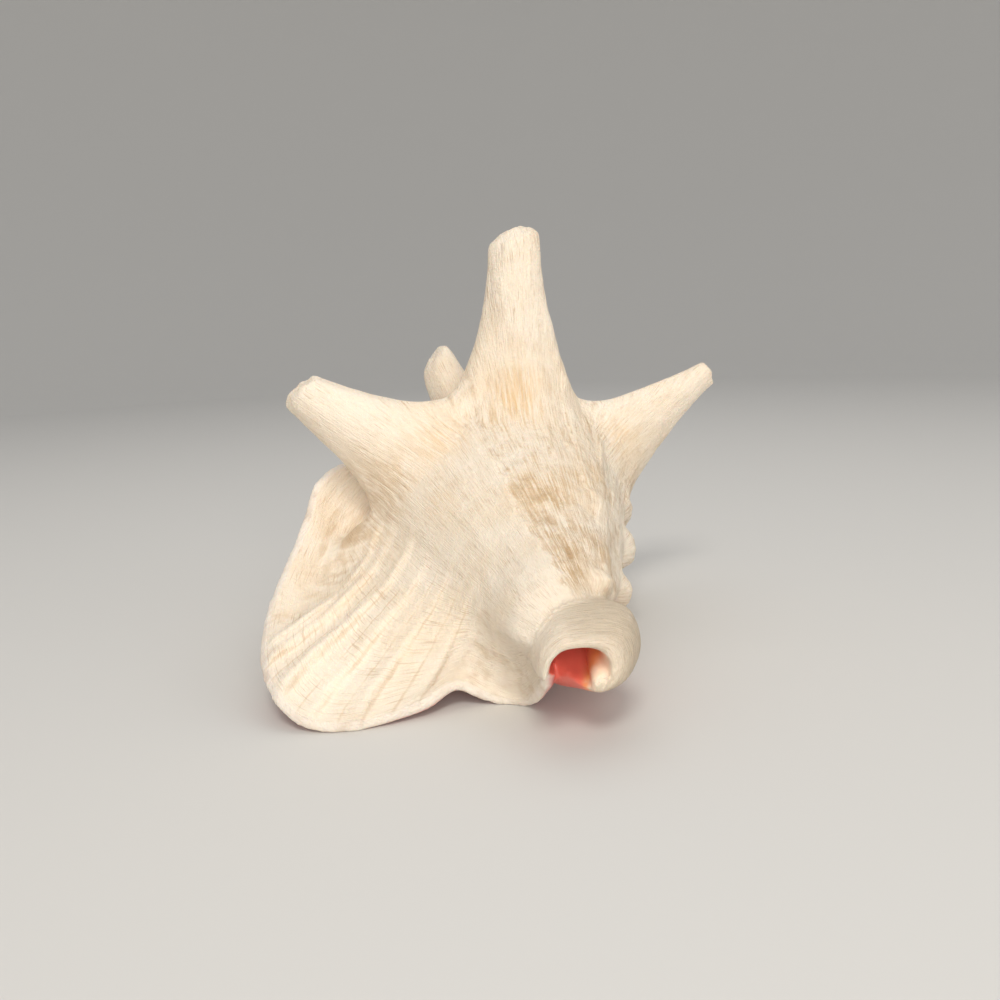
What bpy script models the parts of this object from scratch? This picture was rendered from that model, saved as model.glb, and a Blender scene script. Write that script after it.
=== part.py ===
"""Queen conch shell: one grown piece, modelled as one closed solid.

The shell is built lying on its aperture. Its coiling axis runs along Y, apex to +Y
and siphonal canal to -Y, before the whole is tipped to the way it rests.
A wall that coils round the axis carries the shoulder spines and ends in the flared lip.
Inside it stands the core: the earlier whorls, the spire and the columella.
"""

import bpy
import bmesh
import math
import numpy as np
from mathutils import Matrix, Vector

MM = 0.001

# Coiling
WHORL_GROWTH = 1.62             # size ratio of one whorl to the one before it
APEX_Y = 66.0                   # apex height over the last shoulder plane, mm
THETA_REF = 90.0                # growth angle at which the profile has its stated size, degrees
THETA_CAVITY = -80.0            # growth angle where the body cavity ends, degrees
THETA_LIP = 168.0               # growth angle where the wall leaves the spiral for the lip
LIP_SPAN = 60.0                 # growth angle given to the flared lip, degrees
TURNS = 6                       # whorls kept before the cavity

# Profile of a whorl: fraction from suture to canal, radius mm, height along the axis mm
PROFILE = (
    (0.00, 31.2, 15.4),
    (0.08, 36.5, 13.0),
    (0.16, 44.0, 9.5),
    (0.24, 51.0, 4.0),
    (0.30, 53.5, -4.0),
    (0.38, 50.5, -16.0),
    (0.50, 43.0, -38.0),
    (0.62, 35.5, -61.0),
    (0.74, 28.0, -83.0),
    (0.86, 20.5, -104.0),
    (0.94, 14.0, -118.0),
    (1.00, 7.0, -127.0),
)
SUTURE_V = 0.38                 # fraction of a whorl left uncovered by the next one
LIP_FLARE = 0.08                # widening of the whorl as it nears the lip
CANAL_WIDENING = 22.0           # room the wall leaves for the siphonal canal, mm
WALL_FRONT = -110.0             # past here the wall is drawn back to leave the collar free
CANAL_SETBACK = 0.5

# Edge of the flared lip, from the spire round to the canal: fraction, x, y, z mm
LIP_EDGE = (
    (0.00, -32.0, 22.0, -4.0),
    (0.04, -46.0, 26.0, 8.0),
    (0.08, -62.0, 23.0, 20.0),
    (0.15, -83.0, 9.0, 19.0),
    (0.22, -92.0, -9.0, 5.0),
    (0.30, -100.0, -32.0, -3.0),
    (0.38, -106.0, -56.0, -8.0),
    (0.46, -108.5, -80.0, -15.0),
    (0.53, -104.5, -98.0, -21.5),
    (0.58, -96.0, -107.5, -27.0),
    (0.63, -81.0, -112.0, -28.5),
    (0.68, -62.0, -110.0, -26.0),
    (0.73, -45.0, -103.5, -22.5),
    (0.78, -34.0, -105.0, -28.0),
    (0.83, -25.0, -108.0, -31.0),
    (0.91, -21.5, -122.0, -18.0),
    (1.00, -23.5, -138.0, 1.0),
)
# Way the lip runs as it reaches its edge: fraction, direction, reach mm
LIP_RUN = (
    (0.00, 0.1, 0.0, -1.0, 12.0),
    (0.06, -0.7, 0.3, 0.3, 22.0),
    (0.15, -0.7, 0.1, 0.8, 38.0),
    (0.26, -0.9, 0.0, 0.5, 48.0),
    (0.42, -1.0, -0.1, 0.1, 50.0),
    (0.53, -0.8, -0.5, -0.25, 45.0),
    (0.63, -0.6, -0.7, -0.5, 40.0),
    (0.70, -0.5, -0.8, -0.2, 35.0),
    (0.76, -0.3, -0.8, -0.4, 30.0),
    (0.83, -0.1, -0.6, -0.9, 25.0),
    (1.00, -0.4, -0.7, -0.6, 10.0),
)
# Reach of the wall where it leaves the spiral: fraction, mm
LIP_START = (
    (0.00, 18.0),
    (0.15, 45.0),
    (0.28, 60.0),
    (0.45, 58.0),
    (0.60, 40.0),
    (0.72, 24.0),
    (0.85, 16.0),
    (1.00, 8.0),
)

# Shoulder spines: growth angle, length, foot radius, middle radius, tip radius mm,
# lean to the apex, lean along growth, slope of the broken tip along growth
SPINE_V = 0.27
SPINES = (
    (147.5, 47.0, 30.0, 13.0, 8.4, 0.10, -0.03, 0.30),
    (91.0, 63.4, 31.0, 12.0, 9.8, 0.15, -0.03, -0.25),
    (33.0, 55.0, 28.5, 9.3, 5.2, 0.10, -0.03, 0.10),
    (-24.0, 11.0, 17.0, 8.0, 5.5, 0.0, 0.0, 0.0),
    (-82.0, 7.0, 15.0, 8.0, 5.5, 0.0, 0.0, 0.0),
    (-138.0, 9.0, 14.0, 7.0, 4.5, 0.1, 0.0, 0.0),
    (-192.0, 12.0, 13.0, 6.0, 4.0, 0.2, 0.0, 0.0),
    (-241.0, 36.0, 18.0, 10.5, 8.0, 0.32, -0.08, -0.3),
    (-309.0, 12.0, 12.0, 6.0, 4.0, 0.3, 0.0, 0.0),
)
SPIRE_SPINE_FIRST = -366.0      # growth angle of the largest small spire spine
SPIRE_SPINE_STEP = 46.0
SPIRE_SPINE_COUNT = 24
SPIRE_SPINE_LENGTH = 12.0       # at full whorl size, shrinking with the whorl
SPIRE_SPINE_FOOT = 15.0

# Low knobs: growth angle, fraction, radius mm, height mm
KNOBS = (
    (190.0, 0.31, 17.0, 5.0),
    (4.0, 0.45, 10.0, 3.2),
    (-3.0, 0.645, 10.5, 5.8),
    (-8.0, 0.88, 8.8, 5.8),
    (66.0, 0.70, 8.5, 2.4),
    (119.0, 0.29, 14.0, 4.5),
    (79.0, 0.935, 5.6, 4.0),
)
# Furrow between the last growth and the older wall: fraction, growth angle
FURROW = (
    (0.34, 36.0),
    (0.55, 43.0),
    (0.68, 45.0),
    (0.83, 46.0),
    (0.93, 53.0),
    (1.00, 57.0),
)
FURROW_WIDTH = 6.5              # growth degrees on the newer side
FURROW_APRON = 24.0             # growth degrees over which the older side rises again
FURROW_DEPTH = 2.6              # mm

# Thicknesses, mm
WALL = 3.6
LIP_WALL = 5.0
RIM_BULGE = 2.2

# Siphonal canal: scroll of the collar round it, degrees and mm
COLLAR_ARC = (-75.0, 184.0)
# loop fraction, radius, height along the axis, centre x, centre z
COLLAR_PROFILE = (
    (0.00, 10.0, -104.0, -6.0, -3.0),
    (0.12, 13.5, -113.0, -6.0, -3.0),
    (0.30, 17.3, -123.0, -6.0, -3.0),
    (0.42, 16.4, -133.0, -7.3, -2.5),
    (0.52, 13.4, -139.5, -9.8, -2.0),
    (0.60, 10.0, -141.5, -12.0, -1.5),
    (0.66, 7.6, -138.0, -12.5, -1.0),
    (0.80, 7.0, -126.0, -12.5, 0.0),
    (1.00, 7.0, -108.0, -11.5, 1.0),
)
COLLAR_SCROLL = (
    (-75.0, 0.48),
    (-50.0, 0.70),
    (-20.0, 0.95),
    (10.0, 1.06),
    (42.0, 1.13),
    (75.0, 0.98),
    (90.0, 0.96),
    (105.0, 0.99),
    (120.0, 1.06),
    (150.0, 1.07),
    (184.0, 1.03),
)
# Columella: height along the axis, x, z, radius mm
COLUMELLA = (
    (5.0, 0.0, 0.0, 16.0),
    (-40.0, -3.0, -3.0, 13.0),
    (-70.0, -7.0, -8.0, 12.0),
    (-95.0, -9.0, -10.5, 12.0),
    (-115.0, -8.5, -9.5, 10.5),
    (-128.0, -6.0, -7.0, 7.5),
    (-137.0, -5.0, -6.0, 4.5),
)
# Axial rod the whorls close onto: y, x, z, radius mm
AXIS_ROD = (
    (5.0, 0.0, 0.0, 16.0),
    (-60.0, 0.0, 0.0, 12.0),
    (-100.0, 0.0, -1.0, 10.0),
    (-126.0, -1.0, -5.0, 8.0),
)
CANAL_WIDTH = 1.16              # the channel is wider than it is high
CANAL_HEIGHT = 0.95
CANAL_BLUNT = 2.7               # exponent of its cross-section, 2 is an ellipse
# Channel of the canal: y, x, z, radius mm
CANAL = (
    (-150.0, -11.4, -1.8, 9.3),
    (-143.0, -11.4, -1.6, 8.2),
    (-136.0, -11.4, -1.0, 7.6),
    (-120.0, -11.6, 3.0, 7.2),
    (-104.0, -12.0, 8.0, 6.2),
    (-90.0, -12.0, 11.0, 5.0),
)
# Fold of the columella that narrows the channel's mouth: y, x, z, radius mm
FOLD = (
    (-141.5, -5.0, -6.8, 1.2),
    (-140.2, -4.6, -6.4, 2.6),
    (-136.0, -3.4, -5.4, 3.6),
    (-128.0, -2.4, -3.4, 3.6),
    (-118.0, -1.8, 0.0, 2.8),
    (-108.0, -2.0, 4.0, 1.0),
)

# Joining and rest
VOXEL = 1.1                     # grid on which the parts grow together, mm
TRIANGLES = 9400                # about what the finished skin keeps
SMOOTH_PASSES = 3
REST_PITCH = 8.14               # tip about the X axis, degrees
REST_ROLL = 0.36                # tip about the Y axis, degrees
WEAR = 0.8                      # depth worn flat where the shell rests, mm


def clear_scene():
    for item in list(bpy.data.objects):
        bpy.data.objects.remove(item, do_unlink=True)


def spline(knots, x, column):
    """Smooth curve through one column of a table of knots."""
    table = np.asarray(knots, float)
    at = table[:, 0]
    value = table[:, column]
    slope = np.gradient(value, at)
    step = np.diff(at)
    i = np.clip(np.searchsorted(at, x, side="right") - 1, 0, len(step) - 1)
    t = (x - at[i]) / step[i]
    a = (1 + 2 * t) * (1 - t) ** 2
    b = t * (1 - t) ** 2
    c = t * t * (3 - 2 * t)
    d = t * t * (t - 1)
    return a * value[i] + b * step[i] * slope[i] + c * value[i + 1] + d * step[i] * slope[i + 1]


def ease(t):
    t = np.clip(t, 0.0, 1.0)
    return t * t * (3.0 - 2.0 * t)


def whorl_scale(theta):
    return WHORL_GROWTH ** ((theta - THETA_REF) / 360.0)


def whorl_point(theta, v):
    """Point of the coiled wall at a growth angle and a fraction of the profile."""
    k = whorl_scale(theta)
    r = spline(PROFILE, v, 1) * k
    flare = LIP_FLARE * ease((theta - 110.0) / 58.0) * ease((v - 0.05) / 0.2)
    mouth = CANAL_WIDENING * ease((theta - 50.0) / 110.0) * ease((v - 0.60) / 0.34)
    r = np.hypot(r * (1.0 + flare), mouth)
    y = APEX_Y + (spline(PROFILE, v, 2) - APEX_Y) * k
    y = y + CANAL_SETBACK * np.clip(WALL_FRONT - y, 0.0, 60.0)
    a = np.radians(theta)
    return np.stack([r * np.cos(a), y, r * np.sin(a)], -1)


def unit(vectors):
    return vectors / (np.linalg.norm(vectors, axis=-1)[..., None] + 1e-12)


def lip_point(s, v):
    """Point of the flared lip, s from 0 where it leaves the spiral to 1 at its edge."""
    turn = np.full_like(v, THETA_LIP)
    start = whorl_point(turn, v)
    along = unit(whorl_point(turn + 0.5, v) - whorl_point(turn - 0.5, v))
    along = along * np.interp(v, *np.transpose(LIP_START))[..., None]
    run = np.asarray(LIP_RUN, float)
    out = np.stack([np.interp(v, run[:, 0], run[:, i]) for i in (1, 2, 3)], -1)
    out = unit(out)
    end = np.stack([spline(LIP_EDGE, v, i) for i in (1, 2, 3)], -1) - out * RIM_BULGE
    out = out * np.interp(v, run[:, 0], run[:, 4])[..., None]
    s = s[..., None]
    a = (1 + 2 * s) * (1 - s) ** 2
    b = s * (1 - s) ** 2
    c = s * s * (3 - 2 * s)
    d = s * s * (s - 1)
    return a * start + b * along + c * end + d * out


def wall_point(theta, v):
    spiral = whorl_point(np.minimum(theta, THETA_LIP), v)
    s = np.clip((theta - THETA_LIP) / LIP_SPAN, 0.0, 1.0)
    return np.where(s[..., None] > 0, lip_point(s, v), spiral)


def spine_frame(theta):
    """Foot of a spine with its outward, apexward and growthward directions."""
    t = np.array([theta - 0.5, theta, theta + 0.5])
    before, foot, after = wall_point(t, np.full(3, SPINE_V))
    a = math.radians(theta)
    outward = np.array([math.cos(a), 0.0, math.sin(a)])
    apexward = np.array([0.0, 1.0, 0.0])
    growth = after - before
    growth = growth - outward * (growth @ outward)
    growth = growth - apexward * (growth @ apexward)
    return foot, outward, apexward, unit(growth)


def raise_spine(points, theta, length, foot_r, mid_r, tip_r, lean_y, lean_t, slope):
    """Draw the wall round a spine's foot out into a tapering blunt spine."""
    foot, outward, apexward, growth = spine_frame(theta)
    d = points - foot
    a = d @ apexward
    b = d @ growth
    lift = d @ outward
    rho = np.hypot(a, b) / foot_r
    near = (rho < 1.0) & (np.abs(lift) < foot_r)
    rho = np.clip(rho, 0.0, 1.0)
    cap = 0.24
    dome = 0.45 * tip_r
    q = np.clip((1.0 - rho) / (1.0 - cap), 0.0, 1.0)
    b0 = (1 - q) ** 3
    b1 = 3 * q * (1 - q) ** 2
    b2 = 3 * q * q * (1 - q)
    b3 = q ** 3
    shaft_r = b0 * foot_r + b1 * (0.30 * foot_r + 0.70 * mid_r) + b2 * mid_r + b3 * tip_r
    shaft_h = (length - dome) * (0.10 * b1 + 0.50 * b2 + b3)
    inner = np.clip(rho / cap, 0.0, 1.0)
    height = np.where(rho < cap, length - dome + dome * np.sqrt(1.0 - inner ** 2), shaft_h)
    radius = np.where(rho < cap, tip_r * inner, shaft_r)
    angle = np.arctan2(b, a)
    height = height + slope * radius * np.sin(angle) * q ** 4
    bend = height * height / length
    keep = 1.0 - q
    keep = keep * keep * (3 - 2 * keep)
    raised = (
        foot
        + (radius * np.cos(angle) + lean_y * bend)[..., None] * apexward
        + (radius * np.sin(angle) + lean_t * bend)[..., None] * growth
        + (height + lift * keep)[..., None] * outward
    )
    return np.where(near[..., None], raised, points)


def knob_lift(theta, v, points):
    """Height of the low knobs and the furrow over the smooth wall."""
    lift = np.zeros(theta.shape)
    for at_theta, at_v, radius, height in KNOBS:
        centre = wall_point(np.array([at_theta]), np.array([at_v]))[0]
        distance = np.linalg.norm(points - centre, axis=-1) / radius
        lift += height * np.clip(1.0 - distance ** 2, 0.0, 1.0) ** 1.5
    offset = theta - spline(FURROW, v, 1)
    offset = np.where(offset > 0.0, offset / FURROW_WIDTH, offset / FURROW_APRON)
    reach = np.clip((v - 0.34) / 0.12, 0.0, 1.0) * np.clip((0.95 - v) / 0.08, 0.0, 1.0)
    return lift - FURROW_DEPTH * np.exp(-offset ** 2) * reach


def spire_spines():
    spines = []
    for n in range(SPIRE_SPINE_COUNT):
        theta = SPIRE_SPINE_FIRST - n * SPIRE_SPINE_STEP
        k = whorl_scale(theta)
        foot = SPIRE_SPINE_FOOT * k
        spines.append((theta, SPIRE_SPINE_LENGTH * k, foot, 0.5 * foot, 0.3 * foot, 0.3, 0.0, 0.0))
    return spines


def raise_spines(points, low, high, spines):
    for spine in spines:
        if low < spine[0] < high:
            points = raise_spine(points, *spine)
    return points


def make_object(name, vertices, faces):
    mesh = bpy.data.meshes.new(name)
    mesh.from_pydata([tuple(p) for p in np.asarray(vertices) * MM], [], faces)
    mesh.update()
    bm = bmesh.new()
    bm.from_mesh(mesh)
    bmesh.ops.remove_doubles(bm, verts=bm.verts, dist=0.01 * MM)
    bmesh.ops.recalc_face_normals(bm, faces=bm.faces)
    bm.to_mesh(mesh)
    bm.free()
    item = bpy.data.objects.new(name, mesh)
    bpy.context.scene.collection.objects.link(item)
    return item


def surface_normals(points):
    along = np.gradient(points, axis=0)
    across = np.gradient(points, axis=1)
    return unit(np.cross(across, along))


def build_wall():
    """The last whorl and the flared lip as a wall of even thickness."""
    theta = np.linspace(THETA_CAVITY - 8.0, THETA_LIP + LIP_SPAN, 240)
    v = np.linspace(0.0, 1.0, 110)
    t_grid, v_grid = np.meshgrid(theta, v, indexing="ij")
    smooth = wall_point(t_grid, v_grid)
    normal = surface_normals(smooth)
    centre = smooth * np.array([0.0, 1.0, 0.0])
    if ((smooth - centre) * normal)[:100].sum() < 0:
        normal = -normal
    sink = np.interp(t_grid, [THETA_CAVITY - 8.0, THETA_CAVITY + 6.0], [0.8, 0.0])
    lift = knob_lift(t_grid, v_grid, smooth) - sink
    outer = raise_spines(smooth + normal * lift[..., None], THETA_CAVITY - 12.0, 400.0, SPINES)
    s = np.clip((t_grid - THETA_LIP) / LIP_SPAN, 0.0, 1.0)
    thick = WALL + (LIP_WALL - WALL) * s
    inner = smooth - normal * thick[..., None]
    middle = 0.5 * (outer[-1] + inner[-1])
    edge = unit(outer[-1] - outer[-2])
    rim = middle + edge * RIM_BULGE
    n, m = t_grid.shape
    vertices = np.concatenate([outer.reshape(-1, 3), inner.reshape(-1, 3), rim])
    faces = []
    inner_base = n * m
    rim_base = 2 * n * m
    for i in range(n - 1):
        for j in range(m - 1):
            a = i * m + j
            faces.append((a, a + m, a + m + 1, a + 1))
            c = inner_base + a
            faces.append((c, c + 1, c + m + 1, c + m))
    for i in range(n - 1):
        for j in (0, m - 1):
            a = i * m + j
            faces.append((a, a + m, inner_base + a + m, inner_base + a))
    for j in range(m - 1):
        faces.append((j, j + 1, inner_base + j + 1, inner_base + j))
        a = (n - 1) * m + j
        faces.append((a, a + 1, rim_base + j + 1, rim_base + j))
        faces.append((rim_base + j, rim_base + j + 1, inner_base + a + 1, inner_base + a))
    for j in (0, m - 1):
        a = (n - 1) * m + j
        faces.append((a, rim_base + j, inner_base + a))
    return make_object("wall", vertices, faces)


def build_core():
    """Spire and earlier whorls, closed down to the axis."""
    per_turn = 96
    band = 14
    rest = 22
    count = per_turn * TURNS
    theta = THETA_CAVITY - 360.0 * TURNS + np.arange(count + 1) * 360.0 / per_turn
    v_band = np.linspace(0.0, SUTURE_V, band + 1)
    v_full = np.concatenate([v_band, np.linspace(SUTURE_V, 1.0, rest + 1)[1:]])
    t_grid, v_grid = np.meshgrid(theta, v_full, indexing="ij")
    points = whorl_point(t_grid, v_grid)
    points = raise_spines(points, -2000.0, THETA_CAVITY + 3.0, list(SPINES) + spire_spines())
    index = {}
    vertices = []

    def vertex(i, j):
        if j == band and i + per_turn <= count:
            i, j = i + per_turn, 0
        if (i, j) not in index:
            index[(i, j)] = len(vertices)
            vertices.append(points[i, j])
        return index[(i, j)]

    faces = []
    last_turn = count - per_turn
    for i in range(count):
        rows = band if i < last_turn else band + rest
        for j in range(rows):
            faces.append((vertex(i, j), vertex(i + 1, j), vertex(i + 1, j + 1), vertex(i, j + 1)))
    tip = len(vertices)
    vertices.append(np.array([0.0, APEX_Y + (PROFILE[-1][2] - APEX_Y) * 0.8 - 4.0, 0.0]))
    full = band + rest
    for i in range(last_turn, count):
        faces.append((vertex(i, full), vertex(i + 1, full), tip))
    outer_chain = [vertex(count, j) for j in range(full + 1)]
    inner_chain = [vertex(last_turn, j) for j in range(band, full + 1)]
    faces.append(tuple(outer_chain + [tip] + inner_chain[:0:-1]))
    top = len(vertices)
    vertices.append(np.array([0.0, APEX_Y, 0.0]))
    ring = [vertex(i, 0) for i in range(per_turn + 1)] + [vertex(0, j) for j in range(band - 1, 0, -1)]
    for a, b in zip(ring, ring[1:] + ring[:1]):
        faces.append((a, b, top))
    return make_object("core", vertices, faces)


def build_tube(name, table, sides=28, width=1.0, height=1.0, blunt=2.0):
    """Closed bar along Y through centres and radii, round or blunt-cornered."""
    rows = 30
    y = np.linspace(table[0][0], table[-1][0], rows)
    knots = sorted(table)
    x = spline(knots, y, 1)
    z = spline(knots, y, 2)
    r = spline(knots, y, 3)
    vertices = []
    faces = []
    for i in range(rows):
        for n in range(sides):
            a = 2 * math.pi * n / sides
            wide = math.copysign(width * abs(math.cos(a)) ** (2.0 / blunt), math.cos(a))
            high = math.copysign(height * abs(math.sin(a)) ** (2.0 / blunt), math.sin(a))
            vertices.append((x[i] + wide * r[i], y[i], z[i] + high * r[i]))
    for i in range(rows - 1):
        for n in range(sides):
            m = (n + 1) % sides
            a = i * sides
            faces.append((a + n, a + m, a + sides + m, a + sides + n))
    faces.append(tuple(range(sides)))
    faces.append(tuple(range((rows - 1) * sides, rows * sides))[::-1])
    return make_object(name, vertices, faces)


def build_collar():
    """Scroll round the canal, thick and rounded."""
    arc = np.linspace(COLLAR_ARC[0], COLLAR_ARC[1], 72)
    w = np.linspace(0.0, 1.0, 36)
    r, y, centre_x, centre_z = (spline(COLLAR_PROFILE, w, n) for n in (1, 2, 3, 4))
    vertices = []
    faces = []
    for angle in arc:
        k = np.interp(angle, *np.transpose(COLLAR_SCROLL))
        a = math.radians(angle)
        for n in range(len(w)):
            x = centre_x[n] + r[n] * k * math.cos(a)
            z = centre_z[n] + r[n] * k * math.sin(a)
            vertices.append((x, y[n], z))
    rows = len(w)
    for i in range(len(arc) - 1):
        for n in range(rows):
            m = (n + 1) % rows
            a = i * rows
            faces.append((a + n, a + m, a + rows + m, a + rows + n))
    faces.append(tuple(range(rows)))
    faces.append(tuple(range((len(arc) - 1) * rows, len(arc) * rows))[::-1])
    return make_object("collar", vertices, faces)


def apply_modifier(item, kind, **settings):
    modifier = item.modifiers.new(kind.title(), kind)
    for key, value in settings.items():
        setattr(modifier, key, value)
    depsgraph = bpy.context.evaluated_depsgraph_get()
    mesh = bpy.data.meshes.new_from_object(item.evaluated_get(depsgraph), depsgraph=depsgraph)
    item.modifiers.clear()
    old = item.data
    item.data = mesh
    bpy.data.meshes.remove(old)


def grow_together(name, parts, channel, fold):
    """Join the parts into one skin, cut the canal's channel and add the fold in its mouth."""
    bm = bmesh.new()
    for part in parts:
        bm.from_mesh(part.data)
    mesh = bpy.data.meshes.new(name)
    bm.to_mesh(mesh)
    bm.free()
    item = bpy.data.objects.new(name, mesh)
    bpy.context.scene.collection.objects.link(item)
    apply_modifier(item, "REMESH", mode="VOXEL", voxel_size=VOXEL * MM, adaptivity=0.0)
    apply_modifier(item, "BOOLEAN", operation="DIFFERENCE", object=channel, solver="EXACT")
    apply_modifier(item, "BOOLEAN", operation="UNION", object=fold, solver="EXACT")
    apply_modifier(item, "REMESH", mode="VOXEL", voxel_size=VOXEL * MM, adaptivity=0.0)
    bm = bmesh.new()
    bm.from_mesh(item.data)
    keep_largest_body(bm)
    bmesh.ops.triangulate(bm, faces=bm.faces)
    ratio = TRIANGLES / len(bm.faces)
    bm.to_mesh(item.data)
    bm.free()
    apply_modifier(item, "SMOOTH", factor=0.5, iterations=SMOOTH_PASSES)
    apply_modifier(item, "DECIMATE", decimate_type="COLLAPSE", ratio=ratio)
    for part in list(parts) + [channel, fold]:
        bpy.data.objects.remove(part, do_unlink=True)
    return item


def keep_largest_body(bm):
    """Drop crumbs the joining may leave."""
    left = set(bm.verts)
    bodies = []
    while left:
        stack = [left.pop()]
        body = list(stack)
        while stack:
            for edge in stack.pop().link_edges:
                for vert in edge.verts:
                    if vert in left:
                        left.remove(vert)
                        body.append(vert)
                        stack.append(vert)
        bodies.append(body)
    bodies.sort(key=len)
    for body in bodies[:-1]:
        bmesh.ops.delete(bm, geom=body, context="VERTS")


def settle(item):
    """Tip the shell to the way it rests and wear its feet flat."""
    bm = bmesh.new()
    bm.from_mesh(item.data)
    turn = Matrix.Rotation(math.radians(REST_ROLL), 4, "Y")
    turn = turn @ Matrix.Rotation(math.radians(REST_PITCH), 4, "X")
    bmesh.ops.transform(bm, matrix=turn, verts=bm.verts)
    floor = min(v.co.z for v in bm.verts) + WEAR * MM
    geom = bm.verts[:] + bm.edges[:] + bm.faces[:]
    cut = bmesh.ops.bisect_plane(
        bm, geom=geom, dist=1e-7, plane_co=(0, 0, floor), plane_no=(0, 0, 1), clear_inner=True
    )
    rim = [e for e in cut["geom_cut"] if isinstance(e, bmesh.types.BMEdge)]
    bmesh.ops.edgenet_fill(bm, edges=rim)
    low = [min(v.co[axis] for v in bm.verts) for axis in range(3)]
    high = [max(v.co[axis] for v in bm.verts) for axis in range(3)]
    middle = Vector(((low[0] + high[0]) / 2, (low[1] + high[1]) / 2, floor))
    bmesh.ops.translate(bm, vec=-middle, verts=bm.verts)
    bmesh.ops.triangulate(bm, faces=bm.faces)
    bmesh.ops.recalc_face_normals(bm, faces=bm.faces)
    for face in bm.faces:
        face.smooth = True
    bm.to_mesh(item.data)
    bm.free()


def shell_material():
    material = bpy.data.materials.new("shell")
    material.use_nodes = True
    shader = material.node_tree.nodes["Principled BSDF"]
    shader.inputs["Base Color"].default_value = (0.84, 0.72, 0.58, 1.0)
    shader.inputs["Roughness"].default_value = 0.6
    shader.inputs["Metallic"].default_value = 0.0
    return material


def main():
    clear_scene()
    wall = build_wall()
    core = build_core()
    columella = build_tube("columella", COLUMELLA)
    rod = build_tube("axis_rod", AXIS_ROD)
    collar = build_collar()
    channel = build_tube("channel", CANAL, 28, CANAL_WIDTH, CANAL_HEIGHT, CANAL_BLUNT)
    fold = build_tube("fold", FOLD)
    shell = grow_together("conch_shell", [wall, core, columella, rod, collar], channel, fold)
    settle(shell)
    shell.data.materials.clear()
    shell.data.materials.append(shell_material())


main()
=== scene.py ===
"""Queen conch shell: the finished surface, stage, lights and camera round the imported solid.

One skin is grown from the same coiling rule as the solid, with growth lines, ribs, steps and
worn tips in the mesh, and a limy shell material that is chalky outside and glazed inside.
"""

import math

import bmesh
import bpy
import numpy as np
from bpy.props import FloatProperty, FloatVectorProperty, IntProperty, PointerProperty
from mathutils import Matrix, Vector
from mathutils.bvhtree import BVHTree


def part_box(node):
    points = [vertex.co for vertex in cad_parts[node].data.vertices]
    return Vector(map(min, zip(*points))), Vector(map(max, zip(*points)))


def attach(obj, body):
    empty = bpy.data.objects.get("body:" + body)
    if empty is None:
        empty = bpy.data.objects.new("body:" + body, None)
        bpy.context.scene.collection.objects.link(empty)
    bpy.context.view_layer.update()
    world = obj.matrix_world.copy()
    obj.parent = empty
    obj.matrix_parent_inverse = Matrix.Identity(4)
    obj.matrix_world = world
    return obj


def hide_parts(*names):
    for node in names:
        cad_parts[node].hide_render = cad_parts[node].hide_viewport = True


bl_info = {
    "name": "Queen conch shell",
    "version": (1, 0, 0),
    "blender": (4, 5, 0),
    "location": "View3D > Sidebar > Conch",
    "description": "Builds a queen conch shell on its packed solid, with its stage",
    "category": "Add Mesh",
}

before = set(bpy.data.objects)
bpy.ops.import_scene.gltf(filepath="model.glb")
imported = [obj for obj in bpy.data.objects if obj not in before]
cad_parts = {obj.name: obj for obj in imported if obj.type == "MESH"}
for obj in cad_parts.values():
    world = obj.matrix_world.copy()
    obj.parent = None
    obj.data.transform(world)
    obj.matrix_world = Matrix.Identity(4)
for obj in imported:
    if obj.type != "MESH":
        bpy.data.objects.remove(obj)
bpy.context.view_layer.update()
NODE = "conch_shell"
MM = 0.001

# Profile of a whorl: fraction from suture to canal, radius mm, height along the axis mm
PROFILE = (
    (0.00, 31.2, 15.4),
    (0.08, 36.5, 13.0),
    (0.16, 44.0, 9.5),
    (0.24, 51.0, 4.0),
    (0.30, 53.5, -4.0),
    (0.38, 50.5, -16.0),
    (0.50, 43.0, -38.0),
    (0.62, 35.5, -61.0),
    (0.74, 28.0, -83.0),
    (0.86, 20.5, -104.0),
    (0.94, 14.0, -118.0),
    (1.00, 7.0, -127.0),
)
ACROSS_MM = 170.0               # a whorl's length from suture to canal, for patterns
SUTURE_V = 0.38                 # fraction of a whorl left uncovered by the next one
THETA_REF = 90.0                # growth angle at which the profile has its stated size
THETA_CAVITY = -80.0            # growth angle where the body cavity ends
WALL_OVERLAP = 8.0              # growth degrees by which the last whorl runs into the earlier ones
WALL_SINK = 0.8                 # mm by which its end lies under them
THETA_LIP = 168.0               # growth angle where the wall leaves the spiral for the lip
LIP_SPAN = 60.0                 # growth angle given to the flared lip
LIP_FLARE = 0.08                # part by which the wall opens before the lip
CANAL_WIDENING = 22.0           # mm, least radius of the wall beside the canal
WALL_FRONT = -110.0             # mm along the axis, past which the wall is drawn back
CANAL_SETBACK = 0.5             # part of the way past it that is taken back

# Edge of the flared lip, from the spire round to the canal: fraction, x, y, z mm
LIP_EDGE = (
    (0.00, -32.0, 22.0, -4.0),
    (0.04, -46.0, 26.0, 8.0),
    (0.08, -62.0, 23.0, 20.0),
    (0.15, -83.0, 9.0, 19.0),
    (0.22, -92.0, -9.0, 5.0),
    (0.30, -100.0, -32.0, -3.0),
    (0.38, -106.0, -56.0, -8.0),
    (0.46, -108.5, -80.0, -15.0),
    (0.53, -104.5, -98.0, -21.5),
    (0.58, -96.0, -107.5, -27.0),
    (0.63, -81.0, -112.0, -28.5),
    (0.68, -62.0, -110.0, -26.0),
    (0.73, -45.0, -103.5, -22.5),
    (0.78, -34.0, -105.0, -28.0),
    (0.83, -25.0, -108.0, -31.0),
    (0.91, -21.5, -122.0, -18.0),
    (1.00, -23.5, -138.0, 1.0),
)
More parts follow.
